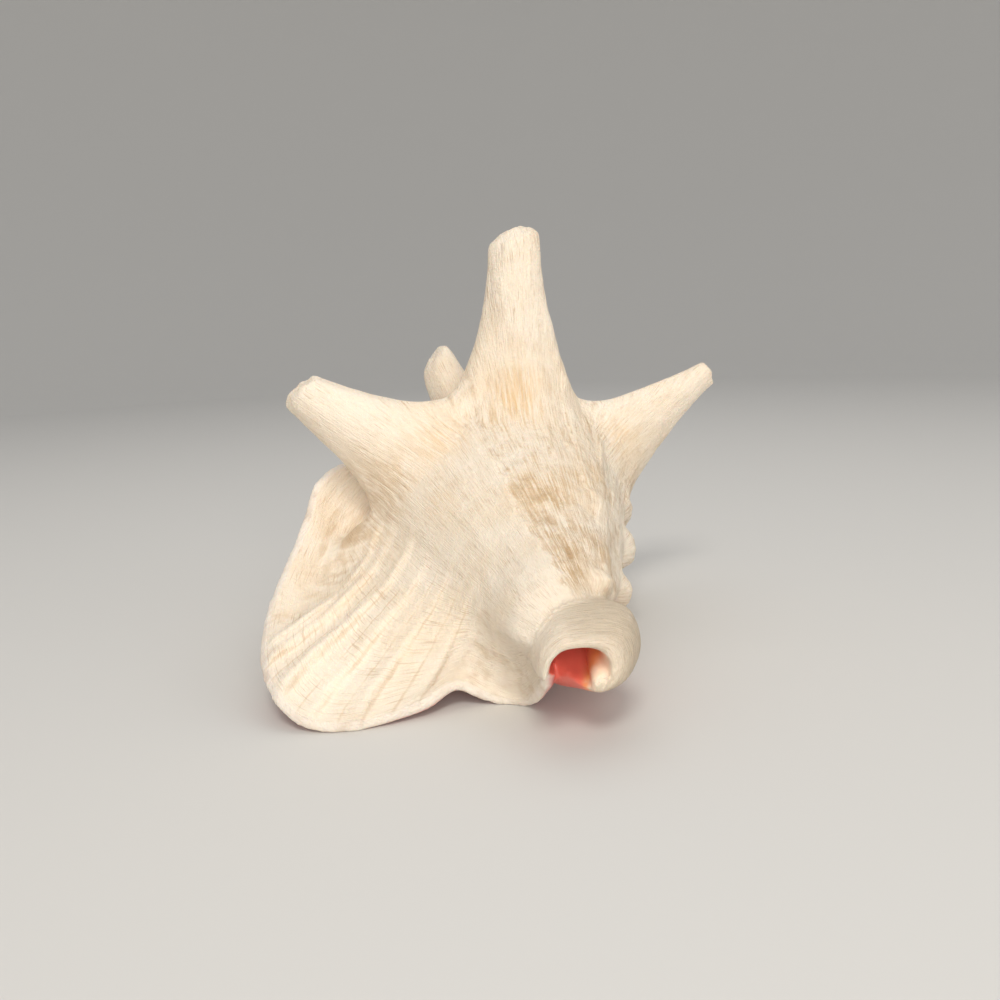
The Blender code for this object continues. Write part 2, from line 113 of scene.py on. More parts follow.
# Way the lip runs as it reaches its edge: fraction, direction, reach mm
LIP_RUN = (
    (0.00, 0.1, 0.0, -1.0, 12.0),
    (0.06, -0.7, 0.3, 0.3, 22.0),
    (0.15, -0.7, 0.1, 0.8, 38.0),
    (0.26, -0.9, 0.0, 0.5, 48.0),
    (0.42, -1.0, -0.1, 0.1, 50.0),
    (0.53, -0.8, -0.5, -0.25, 45.0),
    (0.63, -0.6, -0.7, -0.5, 40.0),
    (0.70, -0.5, -0.8, -0.2, 35.0),
    (0.76, -0.3, -0.8, -0.4, 30.0),
    (0.83, -0.1, -0.6, -0.9, 25.0),
    (1.00, -0.4, -0.7, -0.6, 10.0),
)
# Reach of the wall where it leaves the spiral: fraction, mm
LIP_START = (
    (0.00, 18.0),
    (0.15, 45.0),
    (0.28, 60.0),
    (0.45, 58.0),
    (0.60, 40.0),
    (0.72, 24.0),
    (0.85, 16.0),
    (1.00, 8.0),
)
SPINE_V = 0.27                  # fraction of the whorl where its shoulder spines stand
# Shoulder spines: growth angle, length, foot radius, middle radius, tip radius mm,
# lean to the apex, lean along growth, slope of the broken tip along growth
SPINES = (
    (147.5, 47.0, 30.0, 13.0, 8.4, 0.10, -0.03, 0.30),
    (91.0, 63.0, 31.0, 12.0, 9.8, 0.15, -0.03, -0.25),
    (33.0, 54.5, 28.5, 9.3, 5.2, 0.10, -0.03, 0.10),
    (-24.0, 11.0, 17.0, 8.0, 5.5, 0.0, 0.0, 0.0),
    (-82.0, 7.0, 15.0, 8.0, 5.5, 0.0, 0.0, 0.0),
    (-138.0, 9.0, 14.0, 7.0, 4.5, 0.1, 0.0, 0.0),
    (-192.0, 12.0, 13.0, 6.0, 4.0, 0.2, 0.0, 0.0),
    (-241.0, 36.0, 18.0, 10.5, 8.0, 0.32, -0.08, -0.3),
    (-309.0, 12.0, 12.0, 6.0, 4.0, 0.3, 0.0, 0.0),
)
KEELED_LENGTH = 60.0            # mm, over which a spine has a worn keel down one side
KEEL_TURN = -2.25               # radians round the shaft
KEEL_WIDTH = 0.24               # radians
KEEL_HEIGHT = 1.3               # mm
LUMPY_LENGTH = 50.0             # mm, the length from which a shaft's lumps have their full height
TIP_RAGGED = 1.1                # mm, unevenness of a broken tip
# Lumps of a spine's shaft: height mm, waves per radian, waves per mm, own start for each spine, seed
SHAFT_LUMPS = (
    (0.45, 1.3, 0.09, 1.0, 19.0),
    (0.30, 3.2, 0.05, 0.0, 20.0),
    (0.18, 2.5, 0.35, 0.0, 21.0),
)
SPINE_CAP = 0.24                # part of a spine's foot radius that goes into its blunt tip
SPIRE_SPINE_FIRST = -366.0      # growth angle of the first of the spire's small spines
SPIRE_SPINE_STEP = 46.0         # growth degrees from each to the next
SPIRE_SPINE_COUNT = 24
SPIRE_SPINE_LENGTH = 12.0       # mm at the reference size
SPIRE_SPINE_FOOT = 15.0         # mm, radius at the reference size
# Low knobs: growth angle, fraction, radius mm, height mm
KNOBS = (
    (190.0, 0.31, 17.0, 5.0),
    (4.0, 0.45, 10.0, 3.2),
    (-3.0, 0.645, 10.5, 5.8),
    (-8.0, 0.88, 8.8, 5.8),
    (66.0, 0.70, 8.5, 2.4),
    (119.0, 0.29, 14.0, 4.5),
    (79.0, 0.935, 5.6, 4.0),
)
# Furrow between the last growth and the older wall: fraction, growth angle
FURROW = (
    (0.34, 36.0),
    (0.55, 43.0),
    (0.68, 45.0),
    (0.83, 46.0),
    (0.93, 53.0),
    (1.00, 57.0),
)
FURROW_WIDTH = 6.5              # growth degrees on the newer side
FURROW_APRON = 24.0             # growth degrees over which the older side rises again
FURROW_DEPTH = 2.6              # mm

COLLAR_ARC = (-75.0, 184.0)     # degrees round the canal that the rolled collar covers
COLLAR_LIP = 0.64               # loop fraction where its lime turns to glaze
COLLAR_FACE = -139.0            # mm along the axis, where its blunt front face begins
COLLAR_FRONT = -141.0           # mm along the axis, where the glaze ends
SPIRE_START = 40.0              # mm along the axis, past which there is no lip
FOLD_PALE = 5.5                 # mm round the fold in which the glaze pales
# Rolled collar of the canal: loop fraction, radius, height along the axis, centre x, centre z
COLLAR_PROFILE = (
    (0.00, 10.0, -104.0, -6.0, -3.0),
    (0.12, 13.5, -113.0, -6.0, -3.0),
    (0.30, 17.3, -123.0, -6.0, -3.0),
    (0.42, 16.4, -133.0, -7.3, -2.5),
    (0.52, 13.4, -139.5, -9.8, -2.0),
    (0.60, 10.0, -141.5, -12.0, -1.5),
    (0.66, 7.6, -138.0, -12.5, -1.0),
    (0.80, 7.0, -126.0, -12.5, 0.0),
    (1.00, 7.0, -108.0, -11.5, 1.0),
)
# How the collar's radius changes round it: degrees, factor
COLLAR_SCROLL = (
    (-75.0, 0.48),
    (-50.0, 0.70),
    (-20.0, 0.95),
    (10.0, 1.06),
    (42.0, 1.13),
    (75.0, 0.98),
    (90.0, 0.96),
    (105.0, 0.99),
    (120.0, 1.06),
    (150.0, 1.07),
    (184.0, 1.03),
)
# Growth lines of the collar: height mm, waves through the loop, waves per degree round it, seed
COLLAR_LINES = (
    (0.22, 38.0, 0.012, 11.0),
    (0.18, 80.0, 0.02, 12.0),
    (0.30, 9.0, 0.03, 13.0),
)
# Bars along the axis: height along the axis, x, z, radius mm
COLUMELLA = (
    (5.0, 0.0, 0.0, 16.0),
    (-40.0, -3.0, -3.0, 13.0),
    (-70.0, -7.0, -8.0, 12.0),
    (-95.0, -9.0, -10.5, 12.0),
    (-115.0, -8.5, -9.5, 10.5),
    (-128.0, -6.0, -7.0, 7.5),
    (-137.0, -5.0, -6.0, 4.5),
)
AXIS_ROD = (
    (5.0, 0.0, 0.0, 16.0),
    (-60.0, 0.0, 0.0, 12.0),
    (-100.0, 0.0, -1.0, 10.0),
    (-126.0, -1.0, -5.0, 8.0),
)
CANAL_WIDTH = 1.16              # the channel is wider than it is high
CANAL_HEIGHT = 0.95
CANAL_BLUNT = 2.7               # exponent of its cross-section, 2 is an ellipse
# Channel of the canal: height along the axis, x, z, radius mm
CANAL = (
    (-150.0, -11.4, -1.8, 9.3),
    (-143.0, -11.4, -1.6, 8.2),
    (-136.0, -11.4, -1.0, 7.6),
    (-120.0, -11.6, 3.0, 7.2),
    (-104.0, -12.0, 8.0, 6.2),
    (-90.0, -12.0, 11.0, 5.0),
)
# Fold of the columella that narrows the channel's mouth, in the same order
FOLD = (
    (-141.5, -5.0, -6.8, 1.2),
    (-140.2, -4.6, -6.4, 2.6),
    (-136.0, -3.4, -5.4, 3.6),
    (-128.0, -2.4, -3.4, 3.6),
    (-118.0, -1.8, 0.0, 2.8),
    (-108.0, -2.0, 4.0, 1.0),
)

OLD_STEP = (120.5, 2.8)         # the step that bounds the rough older skin: growth angle, scallop
# Growth steps, where the lip paused: growth angle, height mm (under 0 where the newer layer
# laps over), scallop degrees
STEPS = (
    (52.0, 0.45, 1.5),
    (71.0, 0.35, 1.5),
    (88.0, 0.30, 1.0),
    (104.0, 0.35, 1.5),
    (OLD_STEP[0], -1.20, OLD_STEP[1]),
    (137.0, 0.25, 1.0),
    (158.0, 0.25, 1.0),
    (181.0, 0.25, 1.0),
    (199.0, 0.30, 1.2),
    (215.0, 0.25, 1.0),
)
OLD_STEP_TOP = 0.44             # fraction across the whorl where the old step fades in
STEP_TOP = 0.30                 # and where the others do
# Lines and lumps of the outer wall: height mm, further height on the older skin mm, waves per
# growth degree, waves per mm across, seed
LUMPS = (
    (0.15, 0.0, 0.50, 0.025, 1.0),
    (0.28, 0.0, 0.17, 0.020, 2.0),
    (0.15, 0.25, 0.16, 0.10, 4.0),
    (0.0, 0.22, 0.45, 0.16, 5.0),
    (0.0, 0.18, 1.30, 0.09, 14.0),
    (0.0, 0.40, 0.27, 0.33, 22.0),
)
GROOVE_DEPTH = (0.18, 0.75)     # mm on new skin, and what the older skin adds
GROOVE_WIDTH = 0.10             # part of the height of the waves that the grooves follow
CREASE_DEPTH = 0.5              # mm, of the crease in the furrow
CREASE_WIDTH = 1.5              # growth degrees
THREAD_PITCH = 4.2              # mm between the spiral threads of the last growth
THREAD_HEIGHT = 0.07            # mm
FAN_HEIGHT = 0.45               # mm, of the folds that fan out beside the canal
FLUTE_HEIGHT = 0.42             # mm, of the flutes in the hollow under the left spine
MARGIN_HEIGHT = 0.50            # mm, of the lumps along the lip's margin
STEP_FADE = 9.0                 # growth degrees in which a step's rise dies out
STEP_HEIGHT = 1.5               # factor on the heights of the steps
# Spiral ribs of the lip: fraction, height mm
RIBS = (
    (0.335, 0.30),
    (0.368, 0.90),
    (0.388, 0.30),
    (0.410, 1.15),
    (0.447, 0.25),
    (0.487, 1.10),
    (0.522, 0.25),
    (0.552, 0.75),
    (0.588, 0.30),
    (0.622, 0.85),
    (0.662, 0.35),
    (0.700, 0.80),
    (0.735, 0.30),
)
RIB_WIDTH = 0.015               # fraction across the lip
RIB_FACES = (1.9, 0.42)         # rib widths of the gentle side and the steep one
LOWEST_RELIEF = -0.6            # mm, so the furrow leaves the wall whole
# How far the ribs drift from their line by the lip's edge: fraction, fraction moved
RIB_DRIFT = ((0.30, 0.13), (0.38, 0.13), (0.50, 0.06), (0.60, 0.03), (0.70, -0.02), (1.0, 0.0))
GOLDEN, TAN, CLEAN = range(3)
# Stains: growth angle, fraction, lift from the wall mm, radius mm, kind, strength
STAINS = (
    (133.0, 0.40, 0.0, 12.0, GOLDEN, 0.6),
    (96.0, 0.40, 5.0, 12.0, GOLDEN, 0.8),
    (99.0, 0.66, 0.0, 12.0, GOLDEN, 0.6),
    (150.0, 0.52, 0.0, 9.0, GOLDEN, 0.35),
    (60.0, 0.62, 0.0, 13.0, GOLDEN, 0.4),
    (40.0, 0.40, 8.0, 11.0, GOLDEN, 0.5),
    (155.0, 0.375, 0.0, 15.0, TAN, 0.9),
    (194.0, 0.28, 0.0, 23.0, TAN, 1.0),
    (184.0, 0.35, 0.0, 12.0, TAN, 0.5),
    (112.0, 0.64, 0.0, 12.0, TAN, 1.0),
    (95.0, 0.66, 0.0, 9.0, TAN, 0.9),
    (110.0, 0.76, 0.0, 12.0, TAN, 0.9),
    (98.0, 0.86, 0.0, 13.0, TAN, 1.0),
    (106.0, 0.92, 0.0, 9.0, TAN, 1.0),
    (76.0, 0.84, 0.0, 14.0, TAN, 0.6),
    (55.0, 0.60, 0.0, 15.0, TAN, 0.5),
    (48.0, 0.76, 0.0, 9.0, TAN, 0.9),
    (50.0, 0.90, 0.0, 9.0, TAN, 0.9),
    (79.0, 0.935, 3.0, 6.0, CLEAN, 1.0),
    (66.0, 0.70, 2.0, 8.0, CLEAN, 0.8),
    (-3.0, 0.645, 4.0, 8.0, CLEAN, 0.5),
    (-8.0, 0.88, 4.0, 7.0, CLEAN, 0.5),
)
# Grids of the sheets: rows along the growth, columns across
WALL_GRID = (560, 300)
COLLAR_GRID = (220, 120)
CORE_PER_TURN = 200
CORE_BAND = 40                  # columns from the suture down to the next whorl
CORE_REST = 60                  # columns from there to the canal
MERGE = 0.00001                 # m, within which a sheet's doubled vertices are one
SHORT_OF_GLAZE = 10.0           # mm across from the suture to where the glaze starts
COVERED_V = 0.50                # fraction of an early whorl past which the next one hides it
COVERED_BEFORE = -200.0         # growth angle up to which that holds
FAR_BACK = -2000.0              # growth angle before the first of the spire's spines
OUTSIDE, INSIDE, RIM, COLLAR = range(4)
# Facts kept for each vertex of a sheet: growth angle, mm across, what it is, and for the
# pattern the place across the growth lines, the place along them and how far up a spine
GROWTH, ACROSS, ROLE, LINE, RUN, SHAFT = range(6)

COLOURS = (
    "ivory", "blush", "tan", "brown", "golden", "chalk", "rim", "peach", "orange", "coral"
)
# Values that the skin carries at its vertices
ATTRIBUTES = (
    "line", "run", "margin_out", "margin_down", "hollow", "groove", "ribs", "on_lip",
    "inside", "rim", "collar", "old", "golden", "tan", "flush",
)
# Patterns: name, coordinates, waves in each direction (a metre in the shell's own space; a growth
# degree and a mm on the growth lines; a mm on the lip's margin), detail, roughness.
# Patches are 30 mm wide; streaks 1 mm wide and 12 mm long; growth lines half a mm wide and
# 8 mm long; dashes of dirt half a mm wide and 8 mm long; pores 1 mm, as coarse as they can show
PATTERNS = (
    ("patches", "place", (33.0, 33.0, 33.0), 3.0, 0.55),
    ("thinning", "place", (60.0, 60.0, 60.0), 3.0, 0.55),
    ("gate", "place", (75.0, 75.0, 75.0), 2.0, 0.55),
    ("blotch", "place", (130.0, 130.0, 130.0), 4.0, 0.6),
    ("wander", "place", (260.0, 260.0, 260.0), 1.0, 0.55),
    ("crust", "place", (380.0, 380.0, 380.0), 4.0, 0.65),
    ("pores", "place", (900.0, 900.0, 900.0), 3.0, 0.55),
    ("streaks", "lines", (0.85, 0.08, 1.0), 4.0, 0.62),
    ("fine", "lines", (2.1, 0.13, 1.0), 3.0, 0.6),
    ("dashes", "lines", (2.3, 0.12, 1.0), 1.5, 0.5),
    ("margin_streaks", "margin", (0.55, 0.05, 1.0), 4.0, 0.62),
    ("margin_fine", "margin", (1.6, 0.12, 1.0), 3.0, 0.6),
)
# Amounts worked out from them: name, operation, terms
AMOUNTS = (
    ("warm", "SMOOTHSTEP", "patches", 0.40, 0.66),
    ("streaky", "SMOOTHSTEP", "streaks", 0.46, 0.66),
    ("streak_amount", "MULTIPLY_ADD", "old", 0.54, 0.08),
    ("streak_breaks", "SMOOTHSTEP", "blotch", 0.34, 0.58),
    ("lined", "SMOOTHSTEP", "fine", 0.52, 0.68),
    ("line_amount", "MULTIPLY_ADD", "old", 0.16, 0.26),
    ("line_breaks", "SMOOTHSTEP", "thinning", 0.40, 0.58),
    ("gold_breaks", "SMOOTHSTEP", "streaks", 0.30, 0.62),
    ("mottle", "MULTIPLY_ADD", "blotch", 0.45, "streaks"),
    ("mottled", "SMOOTHSTEP", "mottle", 0.58, 0.86),
    ("dashed", "SMOOTHSTEP", "dashes", 0.56, 0.68),
    ("dash_breaks", "SMOOTHSTEP", "gate", 0.38, 0.60),
    # Brown in the grooves: partly dirt, partly painted shade, stronger on the old skin
    ("dirt_and_shade_amount", "MULTIPLY_ADD", "old", 0.45, 0.12),
    ("dirt_and_shade_breaks", "SMOOTHSTEP", "blotch", 0.36, 0.60),
    ("rib_place", "MULTIPLY_ADD", "wander", 0.16, "ribs"),
    ("rib_turn", "FRACT", "rib_place"),
    # Painted shade: a band just past each rib's crest, on its steep side, that the layers paint tan
    ("rib_shadow_foot", "SMOOTHSTEP", "rib_turn", 0.06, 0.12),
    ("rib_shadow_top", "SMOOTHSTEP", "rib_turn", 0.26, 0.15),
    ("rib_shadow_breaks", "SMOOTHSTEP", "gate", 0.30, 0.65),
    ("grey_lines", "SMOOTHSTEP", "fine", 0.34, 0.74),
    ("grey", "MULTIPLY_ADD", "grey_lines", 0.26, 0.62),
    ("mid_glaze", "SMOOTHSTEP", "flush", 0.05, 0.50),
    ("deep_glaze", "SMOOTHSTEP", "flush", 0.45, 0.85),
    ("sheen", "MULTIPLY_ADD", "inside", -0.36, 0.64),
    ("bump", "MULTIPLY_ADD", "inside", -0.5, 0.55),
    ("crust_amount", "MULTIPLY_ADD", "old", 1.4, 0.45),
    ("line_height", "MULTIPLY_ADD", "streaks", 0.6, "fine"),
    ("pore_height", "MULTIPLY_ADD", "pores", 0.55, "line_height"),
    ("height", "MULTIPLY_ADD", "crust", "crust_amount", "pore_height"),
)
# Layers of colour, each over the one before: name, colour under, factors of its mask, colour over.
# Dirt lies along the growth lines. The brown in the grooves and the furrow's crease is partly dirt,
# partly painted shade; the thin tan line on each rib's steep side is painted shade
LAYERS = (
    ("lime", "ivory", ("warm",), "blush"),
    ("lime", "lime", ("streaky", "streak_amount", "streak_breaks"), "tan"),
    ("lime", "lime", ("lined", "line_amount", "line_breaks"), "tan"),
    ("lime", "lime", ("golden", "gold_breaks", 0.85), "golden"),
    ("lime", "lime", ("tan", "mottled", 0.58), "tan"),
    ("lime", "lime", ("dashed", "dash_breaks", 0.42), "brown"),
    # Partly dirt, partly painted shade: brown in the grooves and the furrow's crease
    ("lime", "lime", ("groove", "dirt_and_shade_amount", "dirt_and_shade_breaks"), "brown"),
    # Painted shade: a thin tan line on the steep side of each rib of the lip
    ("lime", "lime", ("rib_shadow_foot", "rib_shadow_top", "on_lip", "rib_shadow_breaks", 0.40), "tan"),
    ("collar_lime", "blush", ("grey",), "chalk"),
    ("lime", "lime", ("collar", 0.88), "collar_lime"),
    ("glaze", "peach", ("mid_glaze",), "orange"),
    ("glaze", "glaze", ("deep_glaze",), "coral"),
    ("lime", "lime", ("inside",), "glaze"),
    ("finish", "lime", ("rim", 0.36), "rim"),
)
BUMP_DEPTH = 0.0016             # m, for the whole range of the patterns' height

CAMERA_AZIMUTH = 13.0           # camera's turn from the shell's front towards the lip, degrees
CAMERA_RISE = 22.0              # its rise over the coiling axis, degrees
CAMERA_DISTANCE = 380.0         # mm
CAMERA_TARGET = (0.0, -40.0, 0.0)
CAMERA_SHIFT = (-0.0428, 0.0437)        # part of the picture's width
SHELL_ORIGIN = (9.86, 37.88, 45.63)     # mm, where the coiling axis has its origin at rest
# Soft lights: name of the setting with the power, place in metres, width in metres, colour
LIGHTS = (
    ("key", (-0.24, -1.15, 1.48), 0.52, (1.0, 0.96, 0.90)),
    ("front", (-0.05, -0.95, 0.30), 0.5, (1.0, 0.97, 0.93)),
    ("fill", (0.75, -0.55, 0.45), 0.7, (0.95, 0.97, 1.0)),
    ("top", (0.05, 0.25, 0.95), 0.8, (1.0, 0.98, 0.95)),
)
ROOM_COLOUR = (0.92, 0.93, 0.95, 1.0)
FLOOR_SIDES = 96
FLOOR_STEPS = 12                # rings in the floor's upward sweep
FLOOR_DROP = 0.0001             # m, gap that keeps the floor clear of the shell's feet
FLOOR_RING = 0.001              # part of the flat floor in the narrow ring round it


def linear(code):
    """Scene colour of an sRGB hex value."""
    values = [int(code[i:i + 2], 16) / 255.0 for i in (0, 2, 4)]
    return [c / 12.92 if c <= 0.04045 else ((c + 0.055) / 1.055) ** 2.4 for c in values]


def colour_property(name, code, description):
    """Colour setting whose default is an sRGB hex value."""
    return FloatVectorProperty(
        name=name, description=description, subtype="COLOR", size=3, min=0.0, max=1.0,
        default=linear(code),
    )


def length_property(name, value, description):
    """Length setting whose default is in millimetres."""
    return FloatProperty(
        name=name, description=description, default=value * MM, unit="LENGTH", precision=5
    )


class ConchShellSettings(bpy.types.PropertyGroup):
    """Sizes and colours of the shell."""

    whorl_growth: FloatProperty(
        name="Whorl growth", description="Size ratio of one whorl to the one before", default=1.62
    )
    apex: length_property("Apex", 66.0, "Height of the apex over the last shoulder plane")
    turns: IntProperty(name="Turns", description="Whorls kept before the cavity", default=6)
    wall: length_property("Wall", 3.6, "Thickness of the body whorl's wall")
    lip_wall: length_property("Lip wall", 5.0, "Thickness of the lip near its edge")
    rim_bulge: length_property("Rim", 2.2, "How far the lip's rounded rim stands out")
    grid: length_property("Grid", 0.85, "Grid on which the skin is joined")
    triangles: IntProperty(name="Triangles", description="Triangles of the skin", default=192000)
    rest_pitch: FloatProperty(
        name="Rest pitch", description="Tip about X at rest", default=math.radians(8.14),
        subtype="ANGLE",
    )
    rest_roll: FloatProperty(
        name="Rest roll", description="Tip about Y at rest", default=math.radians(0.36),
        subtype="ANGLE",
    )
    wear: length_property("Wear", 0.8, "Depth worn flat where the shell rests")
    ivory: colour_property("Ivory", "F5E7D3", "Clean outer layer")
    blush: colour_property("Blush", "F2E1C9", "Warmer patches of the outer layer")
    # Tan also paints the thin line of painted shade on each lip rib's steep side
    tan: colour_property("Tan", "C9AA82", "Streaks of the old skin")
    # Brown also paints the grooves and the furrow's crease, partly as dirt and partly as painted shade
    brown: colour_property("Brown", "B28D60", "Dirt in the finest growth lines")
    golden: colour_property("Golden", "E6BC80", "Rust-gold stains")
    chalk: colour_property("Chalk", "A3927A", "Greyer lime of the collar")
    rim: colour_property("Rim", "EAE2DD", "Broken edge of the lip")
    peach: colour_property("Peach", "F8DCC0", "Glaze near the opening")
    orange: colour_property("Orange", "EE9A62", "Glaze further in")
    coral: colour_property("Coral", "E8705F", "Glaze deep inside")


class ConchStageSettings(bpy.types.PropertyGroup):
    """Floor, lights and camera."""

    floor_size: FloatProperty(
        name="Floor", description="Width of the floor", default=5.0, unit="LENGTH"
    )
    sweep: FloatProperty(
        name="Sweep", description="Radius of the floor's upward sweep", default=1.2, unit="LENGTH"
    )
    floor_colour: colour_property("Paper", "CFCDC9", "Pale paper floor")
    key: FloatProperty(name="Key", description="Power of the key light", default=13.2, unit="POWER")
    front: FloatProperty(name="Front", description="Power of the low light", default=4.2, unit="POWER")
    fill: FloatProperty(name="Fill", description="Power of the fill", default=0.8, unit="POWER")
    top: FloatProperty(name="Top", description="Power of the top light", default=2.0, unit="POWER")
    ambient: FloatProperty(name="Ambient", description="Strength of the room's light", default=0.50)
    lens: FloatProperty(
        name="Lens", description="Focal length", default=34.56, unit="CAMERA"
    )


# ---------------------------------------------------------------- growth of the shell


def hermite(t):
    """Weights of the start, its slope, the end and its slope, at t from 0 to 1."""
    start = (1 + 2 * t) * (1 - t) ** 2
    end = t * t * (3 - 2 * t)
    return start, t * (1 - t) ** 2, end, t * t * (t - 1)


def spline(knots, x, column):
    """Smooth curve through one column of a table of knots."""
    knots = np.asarray(knots, float)
    at = knots[:, 0]
    value = knots[:, column]
    slope = np.gradient(value, at)
    step = np.diff(at)
    i = np.clip(np.searchsorted(at, x, side="right") - 1, 0, len(step) - 1)
    a, b, c, d = hermite((x - at[i]) / step[i])
    return a * value[i] + b * step[i] * slope[i] + c * value[i + 1] + d * step[i] * slope[i + 1]


def ease(t):
    """Smooth step from 0 to 1."""
    t = np.clip(t, 0.0, 1.0)
    return t * t * (3.0 - 2.0 * t)


def rise(x, start, width):
    """Smooth rise from 0 to 1 that begins at a start and takes a width."""
    return ease((x - start) / width)


def fall(x, end, width):
    """Smooth fall from 1 to 0 that takes a width and is over at an end."""
    return ease((end - x) / width)


def table(knots, x, column=1):
    """Straight lines through one column of a table of knots."""
    knots = np.asarray(knots, float)
    return np.interp(x, knots[:, 0], knots[:, column])


def unit(vectors):
    """Vectors brought to unit length."""
    return vectors / (np.linalg.norm(vectors, axis=-1)[..., None] + 1e-12)


def grain(x, y, seed):
    """Smooth noise from -1 to 1 on a unit lattice."""
    x0 = np.floor(x)
    y0 = np.floor(y)
    fx = ease(x - x0)
    fy = ease(y - y0)

    def corner(i, j):
        n = np.sin((x0 + i) * 127.1 + (y0 + j) * 311.7 + seed * 74.7) * 43758.5453
        return 2.0 * (n - np.floor(n)) - 1.0

    low = corner(0, 0) * (1 - fx) + corner(1, 0) * fx
    high = corner(0, 1) * (1 - fx) + corner(1, 1) * fx
    return low * (1 - fy) + high * fy


def lip_part(theta):
    """How far a growth angle is across the flared lip, from 0 at its start to 1 at its edge."""
    return np.clip((theta - THETA_LIP) / LIP_SPAN, 0.0, 1.0)


class Growth:
    """The rule by which the shell coils, all in millimetres and degrees."""

    def __init__(self, settings):
        self.ratio = settings.whorl_growth
        self.apex = settings.apex / MM
        self.bulge = settings.rim_bulge / MM

    def scale(self, theta):
        """Size of the whorl at a growth angle, 1 at the reference."""
        return self.ratio ** ((theta - THETA_REF) / 360.0)

    def whorl(self, theta, v):
        """Point of the coiled wall at a growth angle and a fraction of the profile."""
        k = self.scale(theta)
        r = spline(PROFILE, v, 1) * k
        flare = LIP_FLARE * rise(theta, 110.0, 58.0) * rise(v, 0.05, 0.2)
        mouth = CANAL_WIDENING * rise(theta, 50.0, 110.0) * rise(v, 0.60, 0.34)
        r = np.hypot(r * (1.0 + flare), mouth)
        y = self.apex + (spline(PROFILE, v, 2) - self.apex) * k
        y = y + CANAL_SETBACK * np.clip(WALL_FRONT - y, 0.0, 60.0)
        a = np.radians(theta)
        return np.stack([r * np.cos(a), y, r * np.sin(a)], -1)

    def lip(self, s, v):
        """Point of the flared lip, s from 0 where it leaves the spiral to 1 at its edge."""
        turn = np.full_like(v, THETA_LIP)
        start = self.whorl(turn, v)
        along = unit(self.whorl(turn + 0.5, v) - self.whorl(turn - 0.5, v))
        along = along * table(LIP_START, v)[..., None]
        out = unit(np.stack([table(LIP_RUN, v, i) for i in (1, 2, 3)], -1))
        end = np.stack([spline(LIP_EDGE, v, i) for i in (1, 2, 3)], -1) - out * self.bulge
        out = out * table(LIP_RUN, v, 4)[..., None]
        a, b, c, d = hermite(s[..., None])
        return a * start + b * along + c * end + d * out

    def wall(self, theta, v):
        """Point of the coiled wall, or of the lip past its start."""
        spiral = self.whorl(np.minimum(theta, THETA_LIP), v)
        s = lip_part(theta)
        return np.where(s[..., None] > 0, self.lip(s, v), spiral)


def raise_spine(growth, points, lines, theta, length, foot_r, mid_r, tip_r, lean_y, lean_t, slope):
    """Draw the wall round a spine's foot out into a tapering blunt spine, with its lines."""
    t = np.array([theta - 0.5, theta, theta + 0.5])
    before, foot, after = growth.wall(t, np.full(3, SPINE_V))
    turn = math.radians(theta)
    outward = np.array([math.cos(turn), 0.0, math.sin(turn)])
    apexward = np.array([0.0, 1.0, 0.0])
    onward = after - before
    degree = np.linalg.norm(onward)
    onward = onward - outward * (onward @ outward)
    onward = unit(onward - apexward * (onward @ apexward))
    d = points - foot
    a = d @ apexward
    b = d @ onward
    lift = d @ outward
    rho = np.hypot(a, b) / foot_r
    near = (rho < 1.0) & (np.abs(lift) < foot_r)
    rho = np.clip(rho, 0.0, 1.0)
    dome = 0.45 * tip_r
    q = np.clip((1.0 - rho) / (1.0 - SPINE_CAP), 0.0, 1.0)
    # The shaft's outline is a cubic curve from the foot to the tip
    b0 = (1 - q) ** 3
    b1 = 3 * q * (1 - q) ** 2
    b2 = 3 * q * q * (1 - q)
    b3 = q ** 3
    shaft_r = b0 * foot_r + b1 * (0.30 * foot_r + 0.70 * mid_r) + b2 * mid_r + b3 * tip_r
    shaft_h = (length - dome) * (0.10 * b1 + 0.50 * b2 + b3)
    inner = np.clip(rho / SPINE_CAP, 0.0, 1.0)
    height = np.where(rho < SPINE_CAP, length - dome + dome * np.sqrt(1.0 - inner ** 2), shaft_h)
    radius = np.where(rho < SPINE_CAP, tip_r * inner, shaft_r)
    angle = np.arctan2(b, a)
    # Shafts are a little angular and the broken tips uneven
    facet = 1.0 + 0.05 * np.sin(3.0 * angle + theta) * q + 0.03 * np.sin(5.0 * angle) * q
    lumps = 0.0
    for size, per_radian, per_mm, shift, seed in SHAFT_LUMPS:
        lumps += size * grain(angle * per_radian, height * per_mm + shift * theta, seed)
    radius = radius * facet + lumps * rise(q, 0.0, 0.3) * min(1.0, length / LUMPY_LENGTH)
    if length > KEELED_LENGTH:
        keel = np.exp(-((angle - KEEL_TURN) / KEEL_WIDTH) ** 2)
        keel = keel * rise(q, 0.0, 0.12) * (1 - rise(q, 0.55, 0.25))
        radius = radius + KEEL_HEIGHT * keel * (0.8 + 0.5 * grain(height * 0.28, angle * 4.0, 23.0))
    ragged = grain(radius * np.sin(angle) * 0.35 + theta, radius * np.cos(angle) * 0.35, 3.0)
    ragged = TIP_RAGGED * min(1.0, length / 40.0) * ragged * q ** 8
    height = height + slope * radius * np.sin(angle) * q ** 4 + ragged
    bend = height * height / length
    keep = ease(1.0 - q)
    raised = (
        foot
        + (radius * np.cos(angle) + lean_y * bend)[..., None] * apexward
        + (radius * np.sin(angle) + lean_t * bend)[..., None] * onward
        + (height + lift * keep)[..., None] * outward
    )
    facing = np.tanh(3.0 * np.cos(angle))
    line = theta + radius * np.sin(angle) / degree
    shifted = np.stack(
        [lines[..., 0] * keep + line * (1.0 - keep), lines[..., 1] + height * facing, q], -1
    )
    near = near[..., None]
    return np.where(near, raised, points), np.where(near, shifted, lines)


